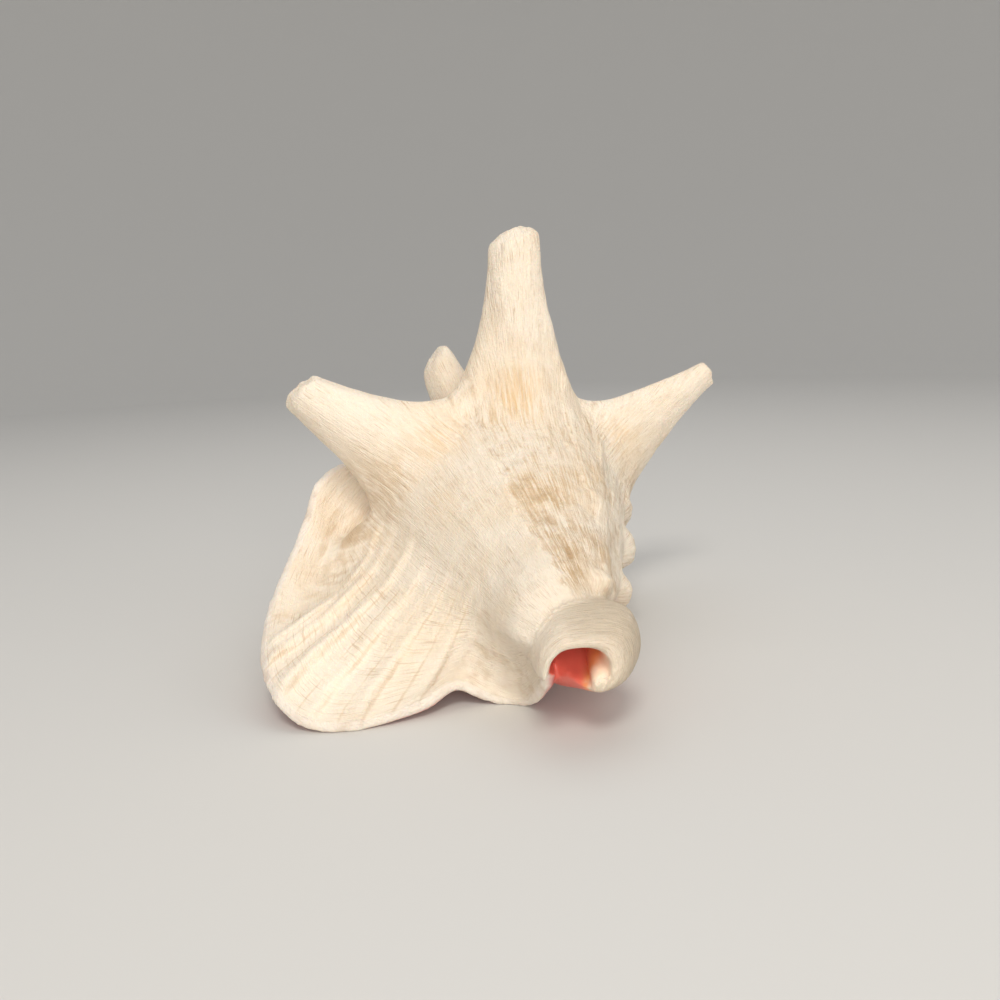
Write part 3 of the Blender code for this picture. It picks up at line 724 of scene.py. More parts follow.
def spire_spines(growth):
    """The small spines up the spire, each in its whorl's size."""
    spines = []
    for n in range(SPIRE_SPINE_COUNT):
        theta = SPIRE_SPINE_FIRST - n * SPIRE_SPINE_STEP
        k = growth.scale(theta)
        foot = SPIRE_SPINE_FOOT * k
        spines.append((theta, SPIRE_SPINE_LENGTH * k, foot, 0.5 * foot, 0.3 * foot, 0.3, 0.0, 0.0))
    return spines


def raise_spines(growth, points, lines, low, high, spines):
    """Raise the spines whose growth angle lies between two others."""
    for spine in spines:
        if low < spine[0] < high:
            points, lines = raise_spine(growth, points, lines, *spine)
    return points, lines


def furrow_crease(theta, v):
    """Depth of the fine crease along the furrow's bottom, mm."""
    wander = 1.5 * grain(v * 14.0, 0.0, 24.0)
    near = (theta - spline(FURROW, v, 1) - wander) / CREASE_WIDTH
    return CREASE_DEPTH * np.exp(-near ** 2) * rise(v, 0.50, 0.12)


def knob_lift(growth, theta, v, points):
    """Height of the low knobs and the furrow over the smooth wall."""
    lift = np.zeros(theta.shape)
    for at_theta, at_v, radius, height in KNOBS:
        centre = growth.wall(np.array([at_theta]), np.array([at_v]))[0]
        distance = np.linalg.norm(points - centre, axis=-1) / radius
        lift += height * np.clip(1.0 - distance ** 2, 0.0, 1.0) ** 1.5
    offset = theta - spline(FURROW, v, 1)
    offset = np.where(offset > 0.0, offset / FURROW_WIDTH, offset / FURROW_APRON)
    reach = np.clip((v - 0.34) / 0.12, 0.0, 1.0) * np.clip((0.95 - v) / 0.08, 0.0, 1.0)
    return lift - FURROW_DEPTH * np.exp(-offset ** 2) * reach


def step_edge(at, scallop, along):
    """Growth angle of a pause's scalloped edge, by mm across the whorl."""
    wave = np.abs(np.sin(along * 0.30 + at)) - 0.6 + 0.8 * grain(along * 0.05, 0.0, at)
    return at + scallop * wave


def rib_place(s, v):
    """Fraction at which the rib through a point of the lip leaves the spiral."""
    return v - s * table(RIB_DRIFT, v)


def grooves(theta, along):
    """Nearness, 0 to 1, to the bottom of one of the wandering grooves of growth."""
    course = grain(theta * 0.36 + 0.8 * grain(theta * 0.1, along * 0.06, 32.0), along * 0.022, 31.0)
    return np.exp(-(course / GROOVE_WIDTH) ** 2)


def relief(theta, v):
    """Height of growth lines, steps, ribs and lumps over the smooth outer wall, mm."""
    along = v * ACROSS_MM
    old = 1.0 - rise(theta, 112.0, 12.0)
    s = lip_part(theta)
    on_lip = rise(theta, 158.0, 30.0)
    height = np.zeros(theta.shape)
    for size, on_old, per_degree, per_mm, seed in LUMPS:
        height += (size + on_old * old) * grain(theta * per_degree, along * per_mm, seed)
    depth = GROOVE_DEPTH[0] + GROOVE_DEPTH[1] * old
    height -= depth * grooves(theta, along) * rise(v, 0.36, 0.10)
    # Each pause leaves a scalloped step down onto the newer growth. Where its height is under 0,
    # the newer layer laps over the older one
    for at, drop, scallop in STEPS:
        before = (step_edge(at, scallop, along) - theta) * np.sign(drop)
        ridge = np.exp(-np.clip(before, 0.0, 60.0) / STEP_FADE) * ease(before / 0.9 + 0.5)
        start = STEP_TOP if drop > 0.0 else OLD_STEP_TOP
        height += STEP_HEIGHT * abs(drop) * ridge * rise(v, start, 0.12)
    # Ribs of the lip overlap like shingles: a gentle rise and a steep far side
    drifted = rib_place(s, v) + 0.0035 * grain(theta * 0.13, along * 0.02, 15.0)
    for at, size in RIBS:
        near = (drifted - at) / RIB_WIDTH
        shape = np.exp(-(near / np.where(near < 0.0, *RIB_FACES)) ** 2)
        strength = (1.8 + 1.7 * rise(s, 0.3, 0.4)) * size * on_lip
        height += strength * shape * (0.85 + 0.35 * grain(theta * 0.1, at * 90.0, 6.0))
    threads = np.sin(2.0 * math.pi * along / THREAD_PITCH)
    threads = threads * rise(theta, 95.0, 20.0) * rise(v, 0.36, 0.05) * (1 - on_lip)
    height += THREAD_HEIGHT * threads
    fan = rise(v, 0.72, 0.15) * rise(theta, 40.0, 20.0) * (1 - rise(theta, 128.0, 10.0))
    height += FAN_HEIGHT * fan * grain(theta * 0.22, along * 0.01, 7.0)
    # The lip's upper part is fluted along its edge, and its margin is lumpy
    hollow = rise(s, 0.15, 0.15) * (1 - rise(s, 0.86, 0.06)) * (1 - rise(v, 0.36, 0.08))
    course = theta * 0.30 + 1.5 * grain(along * 0.04, s, 16.0)
    height += FLUTE_HEIGHT * hollow * grain(course, along * 0.035, 17.0)
    margin = rise(s, 0.80, 0.10)
    height += MARGIN_HEIGHT * margin * grain(theta * 0.08, along * 0.13, 18.0)
    return np.maximum(height - furrow_crease(theta, v), LOWEST_RELIEF)


# ---------------------------------------------------------------- sheets that make up the skin


def quads(rows, columns, base=0, flip=False):
    """Faces of a grid of vertices."""
    i, j = np.meshgrid(np.arange(rows - 1), np.arange(columns - 1), indexing="ij")
    a = (i * columns + j).ravel() + base
    corners = [a, a + columns, a + columns + 1, a + 1]
    return np.stack(corners[::-1] if flip else corners, -1).tolist()


def surface_normals(points):
    """Outward normals of a grid of points whose first rows coil round the axis."""
    normal = unit(np.cross(np.gradient(points, axis=1), np.gradient(points, axis=0)))
    outward = (points * (1.0, 0.0, 1.0) * normal)[:100].sum()
    return normal if outward > 0.0 else -normal


def tube_faces(rows, columns):
    """Faces of a closed tube of rings, with both ends capped."""
    faces = []
    for i in range(rows - 1):
        for n in range(columns):
            m = (n + 1) % columns
            low = i * columns
            high = low + columns
            faces.append((low + n, low + m, high + m, high + n))
    faces.append(tuple(range(columns)))
    faces.append(tuple(range((rows - 1) * columns, rows * columns))[::-1])
    return faces


def wall_sheet(growth, settings):
    """The last whorl and the flared lip: vertices, faces and what each vertex is."""
    wall = settings.wall / MM
    lip_wall = settings.lip_wall / MM
    theta = np.linspace(THETA_CAVITY - WALL_OVERLAP, THETA_LIP + LIP_SPAN, WALL_GRID[0])
    v = np.linspace(0.0, 1.0, WALL_GRID[1])
    t, w = np.meshgrid(theta, v, indexing="ij")
    smooth = growth.wall(t, w)
    normal = surface_normals(smooth)
    sink = np.interp(t, [THETA_CAVITY - WALL_OVERLAP, THETA_CAVITY + 6.0], [WALL_SINK, 0.0])
    s = lip_part(t)
    near_rim = 1.0 - rise(s, 0.94, 0.06) * 0.7
    lift = knob_lift(growth, t, w, smooth) + relief(t, w) * near_rim - sink
    outer = smooth + normal * lift[..., None]
    lines = np.stack([t, w * ACROSS_MM, np.zeros(t.shape)], -1)
    outer, lines = raise_spines(growth, outer, lines, THETA_CAVITY - 12.0, 400.0, SPINES)
    thick = wall + (lip_wall - wall) * s
    inner = smooth - normal * thick[..., None]
    middle = 0.5 * (outer[-1] + inner[-1])
    edge = unit(outer[-1] - outer[-2])
    chip = 0.35 * grain(v * 60.0, 0.0, 8.0) + 0.25 * grain(v * 25.0, 0.0, 9.0)
    taper = 0.2 + 0.8 * fall(v, 1.0, 0.05)
    rim = middle + edge * ((growth.bulge + chip) * taper)[:, None]
    # The outer grid, the inner one a count further on, and the rim's row after both
    rows, m = t.shape
    inside = rows * m
    ridge = 2 * inside
    last = inside - m
    faces = quads(rows, m) + quads(rows, m, inside, True)
    for j in (0, m - 1):
        for i in range(j, last + j, m):
            faces.append((i, i + m, inside + i + m, inside + i))
        faces.append((last + j, ridge + j, inside + last + j))
    for j in range(m - 1):
        low = inside + last + j
        faces.append((j, j + 1, inside + j + 1, inside + j))
        faces.append((last + j, last + j + 1, ridge + j + 1, ridge + j))
        faces.append((ridge + j, ridge + j + 1, low + 1, low))
    points = np.concatenate([outer.reshape(-1, 3), inner.reshape(-1, 3), rim])
    angle = np.concatenate([t.ravel(), t.ravel(), np.full(m, THETA_LIP + LIP_SPAN)])
    across = np.concatenate([w.ravel(), w.ravel(), v]) * ACROSS_MM
    role = np.repeat([OUTSIDE, INSIDE, RIM], [inside, inside, m])
    role[(role == INSIDE) & (across < SHORT_OF_GLAZE)] = OUTSIDE
    plain_lines = np.stack([angle, across, np.zeros(len(angle))], -1)[inside:]
    lines = np.concatenate([lines.reshape(-1, 3), plain_lines])
    return points, faces, np.column_stack([angle, across, role, lines])


def core_sheet(growth, settings):
    """Spire and earlier whorls, closed down to the axis."""
    per_turn = CORE_PER_TURN
    band = CORE_BAND
    full = CORE_BAND + CORE_REST
    count = per_turn * settings.turns
    theta = THETA_CAVITY - 360.0 * settings.turns + np.arange(count + 1) * 360.0 / per_turn
    v_band = np.linspace(0.0, SUTURE_V, band + 1)
    v_full = np.concatenate([v_band, np.linspace(SUTURE_V, 1.0, CORE_REST + 1)[1:]])
    t, w = np.meshgrid(theta, v_full, indexing="ij")
    smooth = growth.whorl(t, w)
    normal = surface_normals(smooth)
    k = growth.scale(t)
    reach = rise(t, THETA_CAVITY - 520.0, 80.0)
    lumps = relief(t, w) * k * reach * fall(t, THETA_CAVITY, 8.0) * rise(w, 0.0, 0.04)
    points = smooth + normal * lumps[..., None]
    lines = np.stack([t, w * ACROSS_MM * k, np.zeros(t.shape)], -1)
    spines = list(SPINES) + spire_spines(growth)
    points, lines = raise_spines(growth, points, lines, FAR_BACK, THETA_CAVITY + 3.0, spines)
    index = {}
    vertices = []
    kept = []

    def vertex(i, j):
        """Number of a grid point, shared where a whorl meets the next one's suture."""
        if j == band and i + per_turn <= count:
            i, j = i + per_turn, 0
        if (i, j) not in index:
            index[(i, j)] = len(vertices)
            vertices.append(points[i, j])
            covered = w[i, j] > COVERED_V and t[i, j] < COVERED_BEFORE
            role = INSIDE if covered else OUTSIDE
            kept.append((t[i, j], w[i, j] * ACROSS_MM, role, *lines[i, j]))
        return index[(i, j)]

    faces = []
    last_turn = count - per_turn
    for i in range(count):
        for j in range(band if i < last_turn else full):
            faces.append((vertex(i, j), vertex(i + 1, j), vertex(i + 1, j + 1), vertex(i, j + 1)))
    tip = len(vertices)
    vertices.append(np.array([0.0, growth.apex + (PROFILE[-1][2] - growth.apex) * 0.8 - 4.0, 0.0]))
    kept.append((THETA_CAVITY, ACROSS_MM, INSIDE, THETA_CAVITY, ACROSS_MM, 0.0))
    for i in range(last_turn, count):
        faces.append((vertex(i, full), vertex(i + 1, full), tip))
    outer_chain = [vertex(count, j) for j in range(full + 1)]
    inner_chain = [vertex(last_turn, j) for j in range(band, full + 1)]
    faces.append(tuple(outer_chain + [tip] + inner_chain[:0:-1]))
    top = len(vertices)
    vertices.append(np.array([0.0, growth.apex, 0.0]))
    kept.append((theta[0], 0.0, OUTSIDE, theta[0], 0.0, 0.0))
    ring = [vertex(i, 0) for i in range(per_turn + 1)] + [vertex(0, j) for j in range(band - 1, 0, -1)]
    for a, b in zip(ring, ring[1:] + ring[:1]):
        faces.append((a, b, top))
    return np.array(vertices), faces, np.array(kept)


def plain_facts(line, run, role):
    """Facts of a sheet that is not part of the coiled wall."""
    return np.column_stack(np.broadcast_arrays(line, run, role, line, run, 0.0))


def bar_sheet(knots, width=1.0, height=1.0, blunt=2.0, sides=64, rows=90):
    """Closed bar along the axis through centres and radii, round or blunt-cornered."""
    y = np.linspace(knots[0][0], knots[-1][0], rows)
    x, z, r = (spline(sorted(knots), y, n)[:, None] for n in (1, 2, 3))
    a = np.linspace(0.0, 2.0 * math.pi, sides, endpoint=False)[None, :]
    wide = width * np.sign(np.cos(a)) * np.abs(np.cos(a)) ** (2.0 / blunt)
    high = height * np.sign(np.sin(a)) * np.abs(np.sin(a)) ** (2.0 / blunt)
    ring = np.stack(np.broadcast_arrays(x + wide * r, y[:, None], z + high * r), -1)
    points = ring.reshape(-1, 3)
    facts = plain_facts(points[:, 1], np.tile(np.degrees(a[0]) * 0.3, rows), INSIDE)
    return points, tube_faces(rows, sides), facts


def collar_sheet():
    """Scroll round the canal, thick and rounded, with growth lines round the opening."""
    arc = np.linspace(COLLAR_ARC[0], COLLAR_ARC[1], COLLAR_GRID[0])
    w = np.linspace(0.0, 1.0, COLLAR_GRID[1])
    r, y, centre_x, centre_z = (spline(COLLAR_PROFILE, w, n) for n in (1, 2, 3, 4))
    outside = fall(w, 0.56, 0.08)
    angle, loop = np.meshgrid(arc, w, indexing="ij")
    lines = 0.0
    for height, per_loop, per_degree, seed in COLLAR_LINES:
        lines += height * grain(loop * per_loop, angle * per_degree, seed)
    size = table(COLLAR_SCROLL, arc)[:, None] * r + lines * outside
    a = np.radians(angle)
    points = np.stack(
        [centre_x + size * np.cos(a), np.broadcast_to(y, a.shape), centre_z + size * np.sin(a)], -1
    )
    role = np.where(loop < COLLAR_LIP, COLLAR, INSIDE).ravel()
    facts = plain_facts((loop * 70.0).ravel(), (angle * 0.28).ravel(), role)
    return points.reshape(-1, 3), tube_faces(*a.shape), facts


# ---------------------------------------------------------------- joining


def select_only(*objects):
    """Select these objects and make the first one active."""
    bpy.ops.object.select_all(action="DESELECT")
    for item in objects:
        item.select_set(True)
    bpy.context.view_layer.objects.active = objects[0]


def sheet_object(name, points, faces):
    """A closed sheet as an object, with its doubles merged and its faces outward."""
    mesh = bpy.data.meshes.new(name)
    mesh.from_pydata((points * MM).tolist(), [], faces)
    item = bpy.data.objects.new(name, mesh)
    bpy.context.scene.collection.objects.link(item)
    select_only(item)
    bpy.ops.object.mode_set(mode="EDIT")
    bpy.ops.mesh.select_all(action="SELECT")
    bpy.ops.mesh.remove_doubles(threshold=MERGE)
    bpy.ops.mesh.normals_make_consistent(inside=False)
    bpy.ops.object.mode_set(mode="OBJECT")
    return item


def apply_modifier(item, kind, **settings):
    """Add one modifier, set it and apply it."""
    select_only(item)
    modifier = item.modifiers.new(kind.title(), kind)
    for key, value in settings.items():
        setattr(modifier, key, value)
    bpy.ops.object.modifier_apply(modifier=modifier.name)


def keep_largest_body(item):
    """Delete every loose body but the one with the most vertices."""
    bm = bmesh.new()
    bm.from_mesh(item.data)
    left = set(bm.verts)
    bodies = []
    while left:
        stack = [left.pop()]
        body = list(stack)
        while stack:
            for edge in stack.pop().link_edges:
                for vert in edge.verts:
                    if vert in left:
                        left.remove(vert)
                        body.append(vert)
                        stack.append(vert)
        bodies.append(body)
    bodies.sort(key=len)
    for body in bodies[:-1]:
        bmesh.ops.delete(bm, geom=body, context="VERTS")
    bm.to_mesh(item.data)
    bm.free()


def grow_together(sheets, channel, fold, settings):
    """One skin from the overlapping sheets, with the canal cut through and its fold added."""
    parts = [sheet_object(name, sheet[0], sheet[1]) for name, sheet in sheets]
    select_only(*parts)
    bpy.ops.object.join()
    item = bpy.context.view_layer.objects.active
    item.name = "conch_skin"
    item.data.name = "conch_skin"
    grid = settings.grid * 1.0
    apply_modifier(item, "REMESH", mode="VOXEL", voxel_size=grid, adaptivity=0.0)
    for name, sheet, operation in (
        ("canal_cutter", channel, "DIFFERENCE"),
        ("canal_fold", fold, "UNION"),
    ):
        tool = sheet_object(name, sheet[0], sheet[1])
        apply_modifier(item, "BOOLEAN", operation=operation, object=tool, solver="EXACT")
        bpy.data.objects.remove(tool, do_unlink=True)
    apply_modifier(item, "REMESH", mode="VOXEL", voxel_size=grid, adaptivity=0.0)
    keep_largest_body(item)
    apply_modifier(item, "SMOOTH", factor=0.5, iterations=2)
    faces = sum(len(p.vertices) - 2 for p in item.data.polygons)
    apply_modifier(
        item, "DECIMATE", decimate_type="COLLAPSE", ratio=min(1.0, settings.triangles / faces)
    )
    return item


def vertex_array(mesh):
    """The mesh's vertices as rows of x, y and z."""
    flat = np.empty(len(mesh.vertices) * 3, np.float32)
    mesh.vertices.foreach_get("co", flat)
    return flat.reshape(-1, 3).astype(float)


def look_up(points, sheets):
    """Facts of the skin at each point, read from the nearest sheet."""
    vertices = []
    triangles = []
    facts = []
    base = 0
    for sheet in sheets:
        vertices.append(sheet[0])
        facts.append(sheet[2])
        for face in sheet[1]:
            for n in range(1, len(face) - 1):
                triangles.append((base + face[0], base + face[n], base + face[n + 1]))
        base += len(sheet[0])
    vertices = np.concatenate(vertices)
    facts = np.concatenate(facts)
    triangles = np.array(triangles)
    tree = BVHTree.FromPolygons(vertices.tolist(), triangles.tolist(), all_triangles=True)
    found = [tree.find_nearest(point) for point in points.tolist()]
    place = np.array([hit[0] for hit in found])
    face = triangles[np.array([hit[2] for hit in found])]
    a, b, c = (vertices[face[:, n]] for n in range(3))
    full = np.linalg.norm(np.cross(b - a, c - a), axis=1) + 1e-9
    part_a = np.linalg.norm(np.cross(b - place, c - place), axis=1) / full
    part_b = np.linalg.norm(np.cross(a - place, c - place), axis=1) / full
    weights = np.clip(np.stack([part_a, part_b, 1.0 - part_a - part_b], -1), 0.0, 1.0)
    values = (facts[face] * weights[..., None]).sum(1)
    values[:, ROLE] = facts[face[np.arange(len(face)), weights.argmax(1)], ROLE]
    return values


def smooth_values(mesh, values, passes):
    """Blur a value over the mesh's edges."""
    edges = np.empty(len(mesh.edges) * 2, np.int64)
    mesh.edges.foreach_get("vertices", edges)
    a, b = edges.reshape(-1, 2).T
    count = np.bincount(a, minlength=len(values)) + np.bincount(b, minlength=len(values))
    for _ in range(passes):
        total = np.bincount(a, values[b], len(values)) + np.bincount(b, values[a], len(values))
        values = 0.5 * values + 0.5 * total / np.maximum(count, 1)
    return values


def write_attribute(mesh, name, values):
    """Keep one value for each vertex under a name that the material reads."""
    attribute = mesh.attributes.new(name, "FLOAT", "POINT")
    attribute.data.foreach_set("value", np.asarray(values, np.float32))


def margin_lines(growth, points):
    """Place out towards the lip's margin and down along it, mm, for the hollow's streaks."""
    end = THETA_LIP + LIP_SPAN
    top, low, inner = growth.wall(np.array([end, end, end - 20.0]), np.array([0.10, 0.32, 0.20]))
    down = unit(low - top)
    out = unit(top - inner - down * np.dot(top - inner, down))
    return (points - top) @ out, (points - top) @ down


def stains(growth, points, outside, on_old):
    """Golden and tan stain at each point, and how much dirt the wear has left there."""
    golden = np.zeros(len(points))
    tan = np.zeros(len(points))
    dirty = np.ones(len(points))
    for theta, at_v, lift, radius, kind, strength in STAINS:
        turn = math.radians(theta)
        centre = growth.wall(np.array([theta]), np.array([at_v]))[0]
        centre = centre + lift * np.array([math.cos(turn), 0.0, math.sin(turn)])
        near = np.linalg.norm(points - centre, axis=-1) / radius
        spot = strength * np.exp(-near ** 2) * outside
        if kind == GOLDEN:
            golden += spot
        elif kind == TAN:
            tan += spot * (1.0 if theta > OLD_STEP[0] else on_old)
        else:
            dirty *= 1.0 - spot
    return golden, tan * dirty, dirty


def glaze_depth(points, along, s):
    """Depth of the glaze's colour: deeper away from the lip's edge, and pale again on the fold."""
    x, y, z = points.T
    deep = 1.0 - rise(along, 95.0, 120.0)
    front = fall(y, -60.0, 30.0)
    column = rise(x, -14.0, 13.0) * (1.0 - 0.65 * rise(y, COLLAR_FACE, 14.0))
    fold_x, fold_z, radius = (spline(FOLD, y, n) for n in (1, 2, 3))
    to_fold = np.hypot(x - fold_x, z - fold_z) - radius
    pale = fall(to_fold, FOLD_PALE, FOLD_PALE) * (1.0 - 0.8 * rise(y, COLLAR_FACE, 10.0))
    column = np.maximum(column, pale)
    depth = np.where(s > 0, 0.75 * fall(s, 0.8, 0.8), 0.75 + 0.25 * deep)
    return depth * (1.0 - front) + front * (1.0 - column)


def mark_skin(item, growth, sheets):
    """Vertex attributes that the shell's material reads."""
    mesh = item.data
    points = vertex_array(mesh) / MM
    facts = look_up(points, sheets)
    x, y, _ = points.T
    along = facts[:, GROWTH]
    across = facts[:, ACROSS]
    role = facts[:, ROLE]
    v = across / ACROSS_MM
    s = lip_part(along)
    outside = (role == OUTSIDE).astype(float)
    inside = (role == INSIDE) * rise(y, COLLAR_FRONT, 2.5)
    # The collar's grey lime fades on its front face and towards the lip
    collar = (role == COLLAR) * (1.0 - 0.75 * fall(y, COLLAR_FACE - 0.5, 2.0))
    collar = collar * (1.0 - 0.7 * fall(x, -8.0, 14.0))
    rim = np.where(role == RIM, 1.0, np.where(outside + inside > 0, rise(s, 0.985, 0.015), 0.0))
    rim = rim * (y < SPIRE_START)
    # Place across the lip's ribs, and the lip's mask, for the tan line of painted shade on each rib's
    # steep side
    crest = np.array(RIBS)[:, 0] + 0.3 * RIB_WIDTH
    ribs = np.interp(rib_place(s, v), crest, np.arange(len(crest)))
    on_lip = outside * rise(along, 165.0, 25.0) * (v > RIBS[0][0]) * (v < 0.90)
    edge = step_edge(*OLD_STEP, across)
    golden, tan, dirty = stains(growth, points, outside, along < edge)
    tan = tan * (1.0 - rise(s, 0.80, 0.10))
    spread = 1.4 + 24.0 * (1.0 - rise(v, OLD_STEP_TOP, 0.10))
    old = outside * (1.0 - ease((along - edge) / spread + 0.5))
    old = old * (1.0 - 0.85 * rise(facts[:, SHAFT], 0.0, 0.35)) * dirty
    # The grooves and the furrow's crease, which the material paints brown as dirt and as painted shade
    groove = np.maximum(grooves(along, across), 2.0 * furrow_crease(along, v))
    out, down = margin_lines(growth, points)
    # Each attribute with the number of times that it is blurred
    marks = {
        "line": (facts[:, LINE], 0),
        "run": (facts[:, RUN], 0),
        "margin_out": (out, 0),
        "margin_down": (down, 0),
        "hollow": (outside * rise(s, 0.02, 0.25) * fall(v, 0.44, 0.14), 0),
        "groove": (outside * groove * (s < 0.05), 0),
        "ribs": (ribs, 0),
        "on_lip": (on_lip, 2),
        "inside": (inside, 2),
        "rim": (rim, 1),
        "collar": (collar, 12),
        "old": (old, 1),
        "golden": (golden, 0),
        "tan": (tan, 0),
        "flush": (glaze_depth(points, along, s), 4),
    }
    for name, (values, passes) in marks.items():
        write_attribute(mesh, name, smooth_values(mesh, values, passes))


def rest_turn(settings):
    """Turn from the coiling frame to the way the shell rests."""
    roll = Matrix.Rotation(settings.rest_roll, 4, "Y")
    return roll @ Matrix.Rotation(settings.rest_pitch, 4, "X")


def settle(item, settings):
    """Tip the skin to the way it rests, wear its feet flat and fit it in the solid's box."""
    mesh = item.data
    bm = bmesh.new()
    bm.from_mesh(mesh)
    bmesh.ops.transform(bm, matrix=rest_turn(settings), verts=bm.verts)
    floor = min(v.co.z for v in bm.verts) + settings.wear
    for vert in bm.verts:
        vert.co.z = max(vert.co.z, floor)
    low = [min(v.co[axis] for v in bm.verts) for axis in range(3)]
    high = [max(v.co[axis] for v in bm.verts) for axis in range(3)]
    box_low, box_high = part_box(NODE)
    own = Vector(high) - Vector(low)
    room = box_high - box_low
    fit = [min(1.0, room[axis] / own[axis]) for axis in range(3)]
    middle = Vector(((low[0] + high[0]) / 2, (low[1] + high[1]) / 2, floor))
    target = Vector(((box_low.x + box_high.x) / 2, (box_low.y + box_high.y) / 2, box_low.z))
    for vert in bm.verts:
        offset = vert.co - middle
        vert.co = target + Vector([offset[axis] * fit[axis] for axis in range(3)])
    bm.to_mesh(mesh)
    bm.free()


# ---------------------------------------------------------------- materials


def node(tree, kind, inputs=(), output=0, **settings):
    """Add a node, set it, link or fill its inputs, and give back one of its outputs."""
    item = tree.nodes.new(kind)
    for key, value in settings.items():
        setattr(item, key, value)
    for socket, value in dict(inputs).items():
        if isinstance(value, bpy.types.NodeSocket):
            tree.links.new(value, item.inputs[socket])
        else:
            item.inputs[socket].default_value = value
    return item.outputs[output] if item.outputs else None


def new_material(name):
    """An empty material and its tree."""
    material = bpy.data.materials.new(name)
    material.use_nodes = True
    material.node_tree.nodes.clear()
    return material, material.node_tree


def shell_material(settings):
    """Limy shell: chalky, streaked and stained outside, and glassy coral glaze inside.

    Weathered aragonite scatters light widely and a little way in, so the outside is matt and
    soft and its grooves hold dirt, with painted shade added in them and in a thin line on each
    lip rib's steep side. The glaze laid down inside is smooth, with a clear shine.
    """
    material, tree = new_material("weathered_conch_lime")
    value = {}
    for name in ATTRIBUTES:
        value[name] = node(tree, "ShaderNodeAttribute", output="Fac", attribute_name=name)
    lines = {"X": value["line"], "Y": value["run"]}
    margin = {"X": value["margin_out"], "Y": value["margin_down"], "Z": 0.5}
    spaces = {
        "place": node(tree, "ShaderNodeTexCoord", output="Object"),
        "lines": node(tree, "ShaderNodeCombineXYZ", lines),
        "margin": node(tree, "ShaderNodeCombineXYZ", margin),
    }
    for name, space, waves, detail, roughness in PATTERNS:
        vector = node(tree, "ShaderNodeMapping", {"Vector": spaces[space], "Scale": waves})
        inputs = {"Vector": vector, "Scale": 1.0, "Detail": detail, "Roughness": roughness}
        value[name] = node(tree, "ShaderNodeTexNoise", inputs)
    for name, on_margin in (("streaks", "margin_streaks"), ("fine", "margin_fine")):
        inputs = {0: value["hollow"], 2: value[name], 3: value[on_margin]}
        value[name] = node(tree, "ShaderNodeMix", inputs)
    for name, operation, *terms in AMOUNTS:
        terms = [value.get(term, term) for term in terms]
        if operation == "SMOOTHSTEP":
            inputs = dict(zip(("Value", "From Min", "From Max"), terms))
            value[name] = node(tree, "ShaderNodeMapRange", inputs, interpolation_type=operation)
        else:
            value[name] = node(tree, "ShaderNodeMath", dict(enumerate(terms)), operation=operation)
    paint = {name: (*getattr(settings, name), 1.0) for name in COLOURS}
    for name, under, factors, over in LAYERS:
        mask = value[factors[0]]
        for factor in factors[1:]:
            inputs = {0: mask, 1: value.get(factor, factor)}
            mask = node(tree, "ShaderNodeMath", inputs, operation="MULTIPLY")
        inputs = {0: mask, 6: paint[under], 7: paint[over]}
        paint[name] = node(tree, "ShaderNodeMix", inputs, 2, data_type="RGBA")
    bump = {"Strength": value["bump"], "Distance": BUMP_DEPTH, "Height": value["height"]}
    inputs = {
        "Base Color": paint["finish"],
        "Roughness": value["sheen"],
        "IOR": 1.53,
        "Normal": node(tree, "ShaderNodeBump", bump),
        "Subsurface Weight": 0.12,
        "Subsurface Radius": (0.004, 0.002, 0.001),
        "Subsurface Scale": 1.0,
    }
    shader = node(tree, "ShaderNodeBsdfPrincipled", inputs)
    node(tree, "ShaderNodeOutputMaterial", {"Surface": shader})
    return material


def paper_material(colour):
    """Pale studio paper: smooth and quite matt, so it takes a soft shadow and no shine."""
    material, tree = new_material("studio_paper")
    inputs = {"Base Color": (*colour, 1.0), "Roughness": 0.85, "IOR": 1.45}
    shader = node(tree, "ShaderNodeBsdfPrincipled", inputs)
    node(tree, "ShaderNodeOutputMaterial", {"Surface": shader})
    return material


# ---------------------------------------------------------------- operators


class CONCH_OT_shell(bpy.types.Operator):
    """Grow the shell's skin with its relief and give it its material."""

    bl_idname = "conch.shell"
    bl_label = "Conch shell"

    def execute(self, context):
        settings = context.scene.conch_shell
        growth = Growth(settings)
        sheets = [
            ("wall", wall_sheet(growth, settings)),
            ("core", core_sheet(growth, settings)),
            ("columella", bar_sheet(COLUMELLA)),
            ("axis_rod", bar_sheet(AXIS_ROD)),
            ("collar", collar_sheet()),
        ]
        channel = bar_sheet(CANAL, CANAL_WIDTH, CANAL_HEIGHT, CANAL_BLUNT)
        fold = bar_sheet(FOLD)
        item = grow_together(sheets, channel, fold, settings)
        mark_skin(item, growth, [sheet for _, sheet in sheets] + [channel, fold])
        settle(item, settings)
        if not item.data.polygons:
            raise RuntimeError("the shell's skin came out empty")
        select_only(item)
        bpy.ops.object.shade_smooth()
        item.data.materials.clear()
        item.data.materials.append(shell_material(settings))
        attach(item, "root")
        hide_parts(NODE)
        return {"FINISHED"}


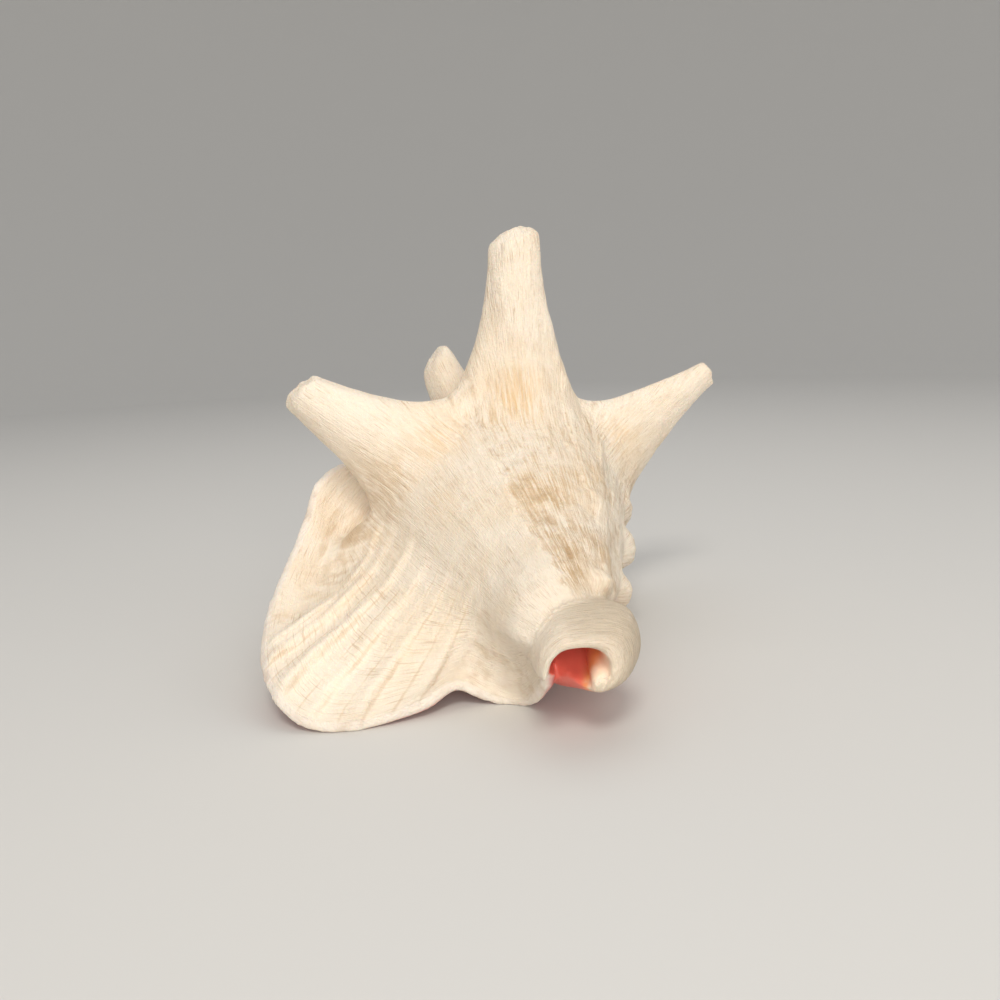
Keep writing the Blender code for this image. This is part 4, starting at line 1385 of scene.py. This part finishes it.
def build_floor(settings):
    """A round floor that sweeps up into a wall all round, so no horizon shows."""
    flat = settings.floor_size / 2 - settings.sweep
    outer = flat * (1.0 + FLOOR_RING)
    bpy.ops.mesh.primitive_circle_add(
        vertices=FLOOR_SIDES, radius=outer, fill_type="NGON", location=(0.0, 0.0, -FLOOR_DROP)
    )
    floor = bpy.context.object
    floor.name = "floor"
    bpy.ops.object.transform_apply(location=True, rotation=False, scale=True)
    bpy.ops.object.mode_set(mode="EDIT")
    bpy.ops.mesh.select_all(action="SELECT")
    bpy.ops.mesh.inset(thickness=outer - flat)
    bpy.ops.mesh.select_all(action="DESELECT")
    bpy.ops.mesh.select_mode(type="EDGE")
    bpy.ops.mesh.select_non_manifold()
    radius, height = outer, -FLOOR_DROP
    for n in range(1, FLOOR_STEPS + 1):
        angle = 0.5 * math.pi * n / FLOOR_STEPS
        wider = flat + settings.sweep * math.sin(angle)
        higher = settings.sweep * (1.0 - math.cos(angle))
        lift = {"value": (0.0, 0.0, higher - height)}
        bpy.ops.mesh.extrude_edges_move(TRANSFORM_OT_translate=lift)
        grown = wider / radius
        bpy.ops.transform.resize(value=(grown, grown, 1.0), center_override=(0.0, 0.0, 0.0))
        radius, height = wider, higher
    bpy.ops.object.mode_set(mode="OBJECT")
    bpy.ops.object.shade_smooth()
    return floor


def area_light(name, place, aim, size, power, colour):
    """A square soft light that faces the point it is aimed at."""
    bpy.ops.object.light_add(type="AREA", location=place)
    lamp = bpy.context.object
    lamp.name = name
    lamp.data.size = size
    lamp.data.energy = power
    lamp.data.color = colour
    lamp.rotation_euler = (Vector(aim) - Vector(place)).to_track_quat("-Z", "Y").to_euler()


class CONCH_OT_stage(bpy.types.Operator):
    """Lay the pale floor, hang the soft lights and set the camera."""

    bl_idname = "conch.stage"
    bl_label = "Stage"

    def execute(self, context):
        settings = context.scene.conch_stage
        scene = context.scene
        bpy.ops.object.select_all(action="DESELECT")
        floor = build_floor(settings)
        floor.data.materials.append(paper_material(settings.floor_colour))
        low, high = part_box(NODE)
        centre = (low + high) / 2
        for name, place, size, colour in LIGHTS:
            area_light(name, place, centre, size, getattr(settings, name), colour)
        world = bpy.data.worlds.new("room")
        scene.world = world
        world.use_nodes = True
        background = world.node_tree.nodes["Background"]
        background.inputs["Color"].default_value = ROOM_COLOUR
        background.inputs["Strength"].default_value = settings.ambient
        camera_data = bpy.data.cameras.new("camera")
        camera = bpy.data.objects.new("camera", camera_data)
        scene.collection.objects.link(camera)
        camera_data.lens = settings.lens
        camera_data.shift_x, camera_data.shift_y = CAMERA_SHIFT
        camera_data.clip_start = 0.01
        camera.matrix_world = camera_place(scene.conch_shell)
        scene.camera = camera
        scene.view_settings.view_transform = "Standard"
        return {"FINISHED"}


def camera_place(settings):
    """Camera matrix, stated in the coiling frame and turned with the shell to rest."""
    turn = math.radians(CAMERA_AZIMUTH)
    rise = math.radians(CAMERA_RISE)
    back = Vector((-math.sin(turn) * math.cos(rise), -math.cos(turn) * math.cos(rise), math.sin(rise)))
    right = Vector((math.cos(turn), -math.sin(turn), 0.0))
    up = back.cross(right).normalized()
    place = Matrix((right, up, back)).transposed().to_4x4()
    place.translation = (Vector(CAMERA_TARGET) + back * CAMERA_DISTANCE) * MM
    return Matrix.Translation(Vector(SHELL_ORIGIN) * MM) @ rest_turn(settings) @ place


class CONCH_PT_panel(bpy.types.Panel):
    """Lists the shell's and the stage's operators and settings."""

    bl_label = "Queen conch shell"
    bl_idname = "CONCH_PT_panel"
    bl_space_type = "VIEW_3D"
    bl_region_type = "UI"
    bl_category = "Conch"

    def draw(self, context):
        scene = context.scene
        for group, operator in (
            (scene.conch_shell, CONCH_OT_shell),
            (scene.conch_stage, CONCH_OT_stage),
        ):
            self.layout.operator(operator.bl_idname)
            for name in group.bl_rna.properties.keys():
                if name not in {"rna_type", "name"}:
                    self.layout.prop(group, name)


CLASSES = (
    ConchShellSettings, ConchStageSettings, CONCH_OT_shell, CONCH_OT_stage, CONCH_PT_panel
)


def register():
    """Add the classes and their settings to Blender."""
    for item in CLASSES:
        bpy.utils.register_class(item)
    bpy.types.Scene.conch_shell = PointerProperty(type=ConchShellSettings)
    bpy.types.Scene.conch_stage = PointerProperty(type=ConchStageSettings)


def unregister():
    """Take them away again."""
    del bpy.types.Scene.conch_stage
    del bpy.types.Scene.conch_shell
    for item in reversed(CLASSES):
        bpy.utils.unregister_class(item)


def main():
    """Build the shell and its stage."""
    register()
    bpy.ops.conch.shell()
    bpy.ops.conch.stage()


if __name__ == "__main__":
    main()
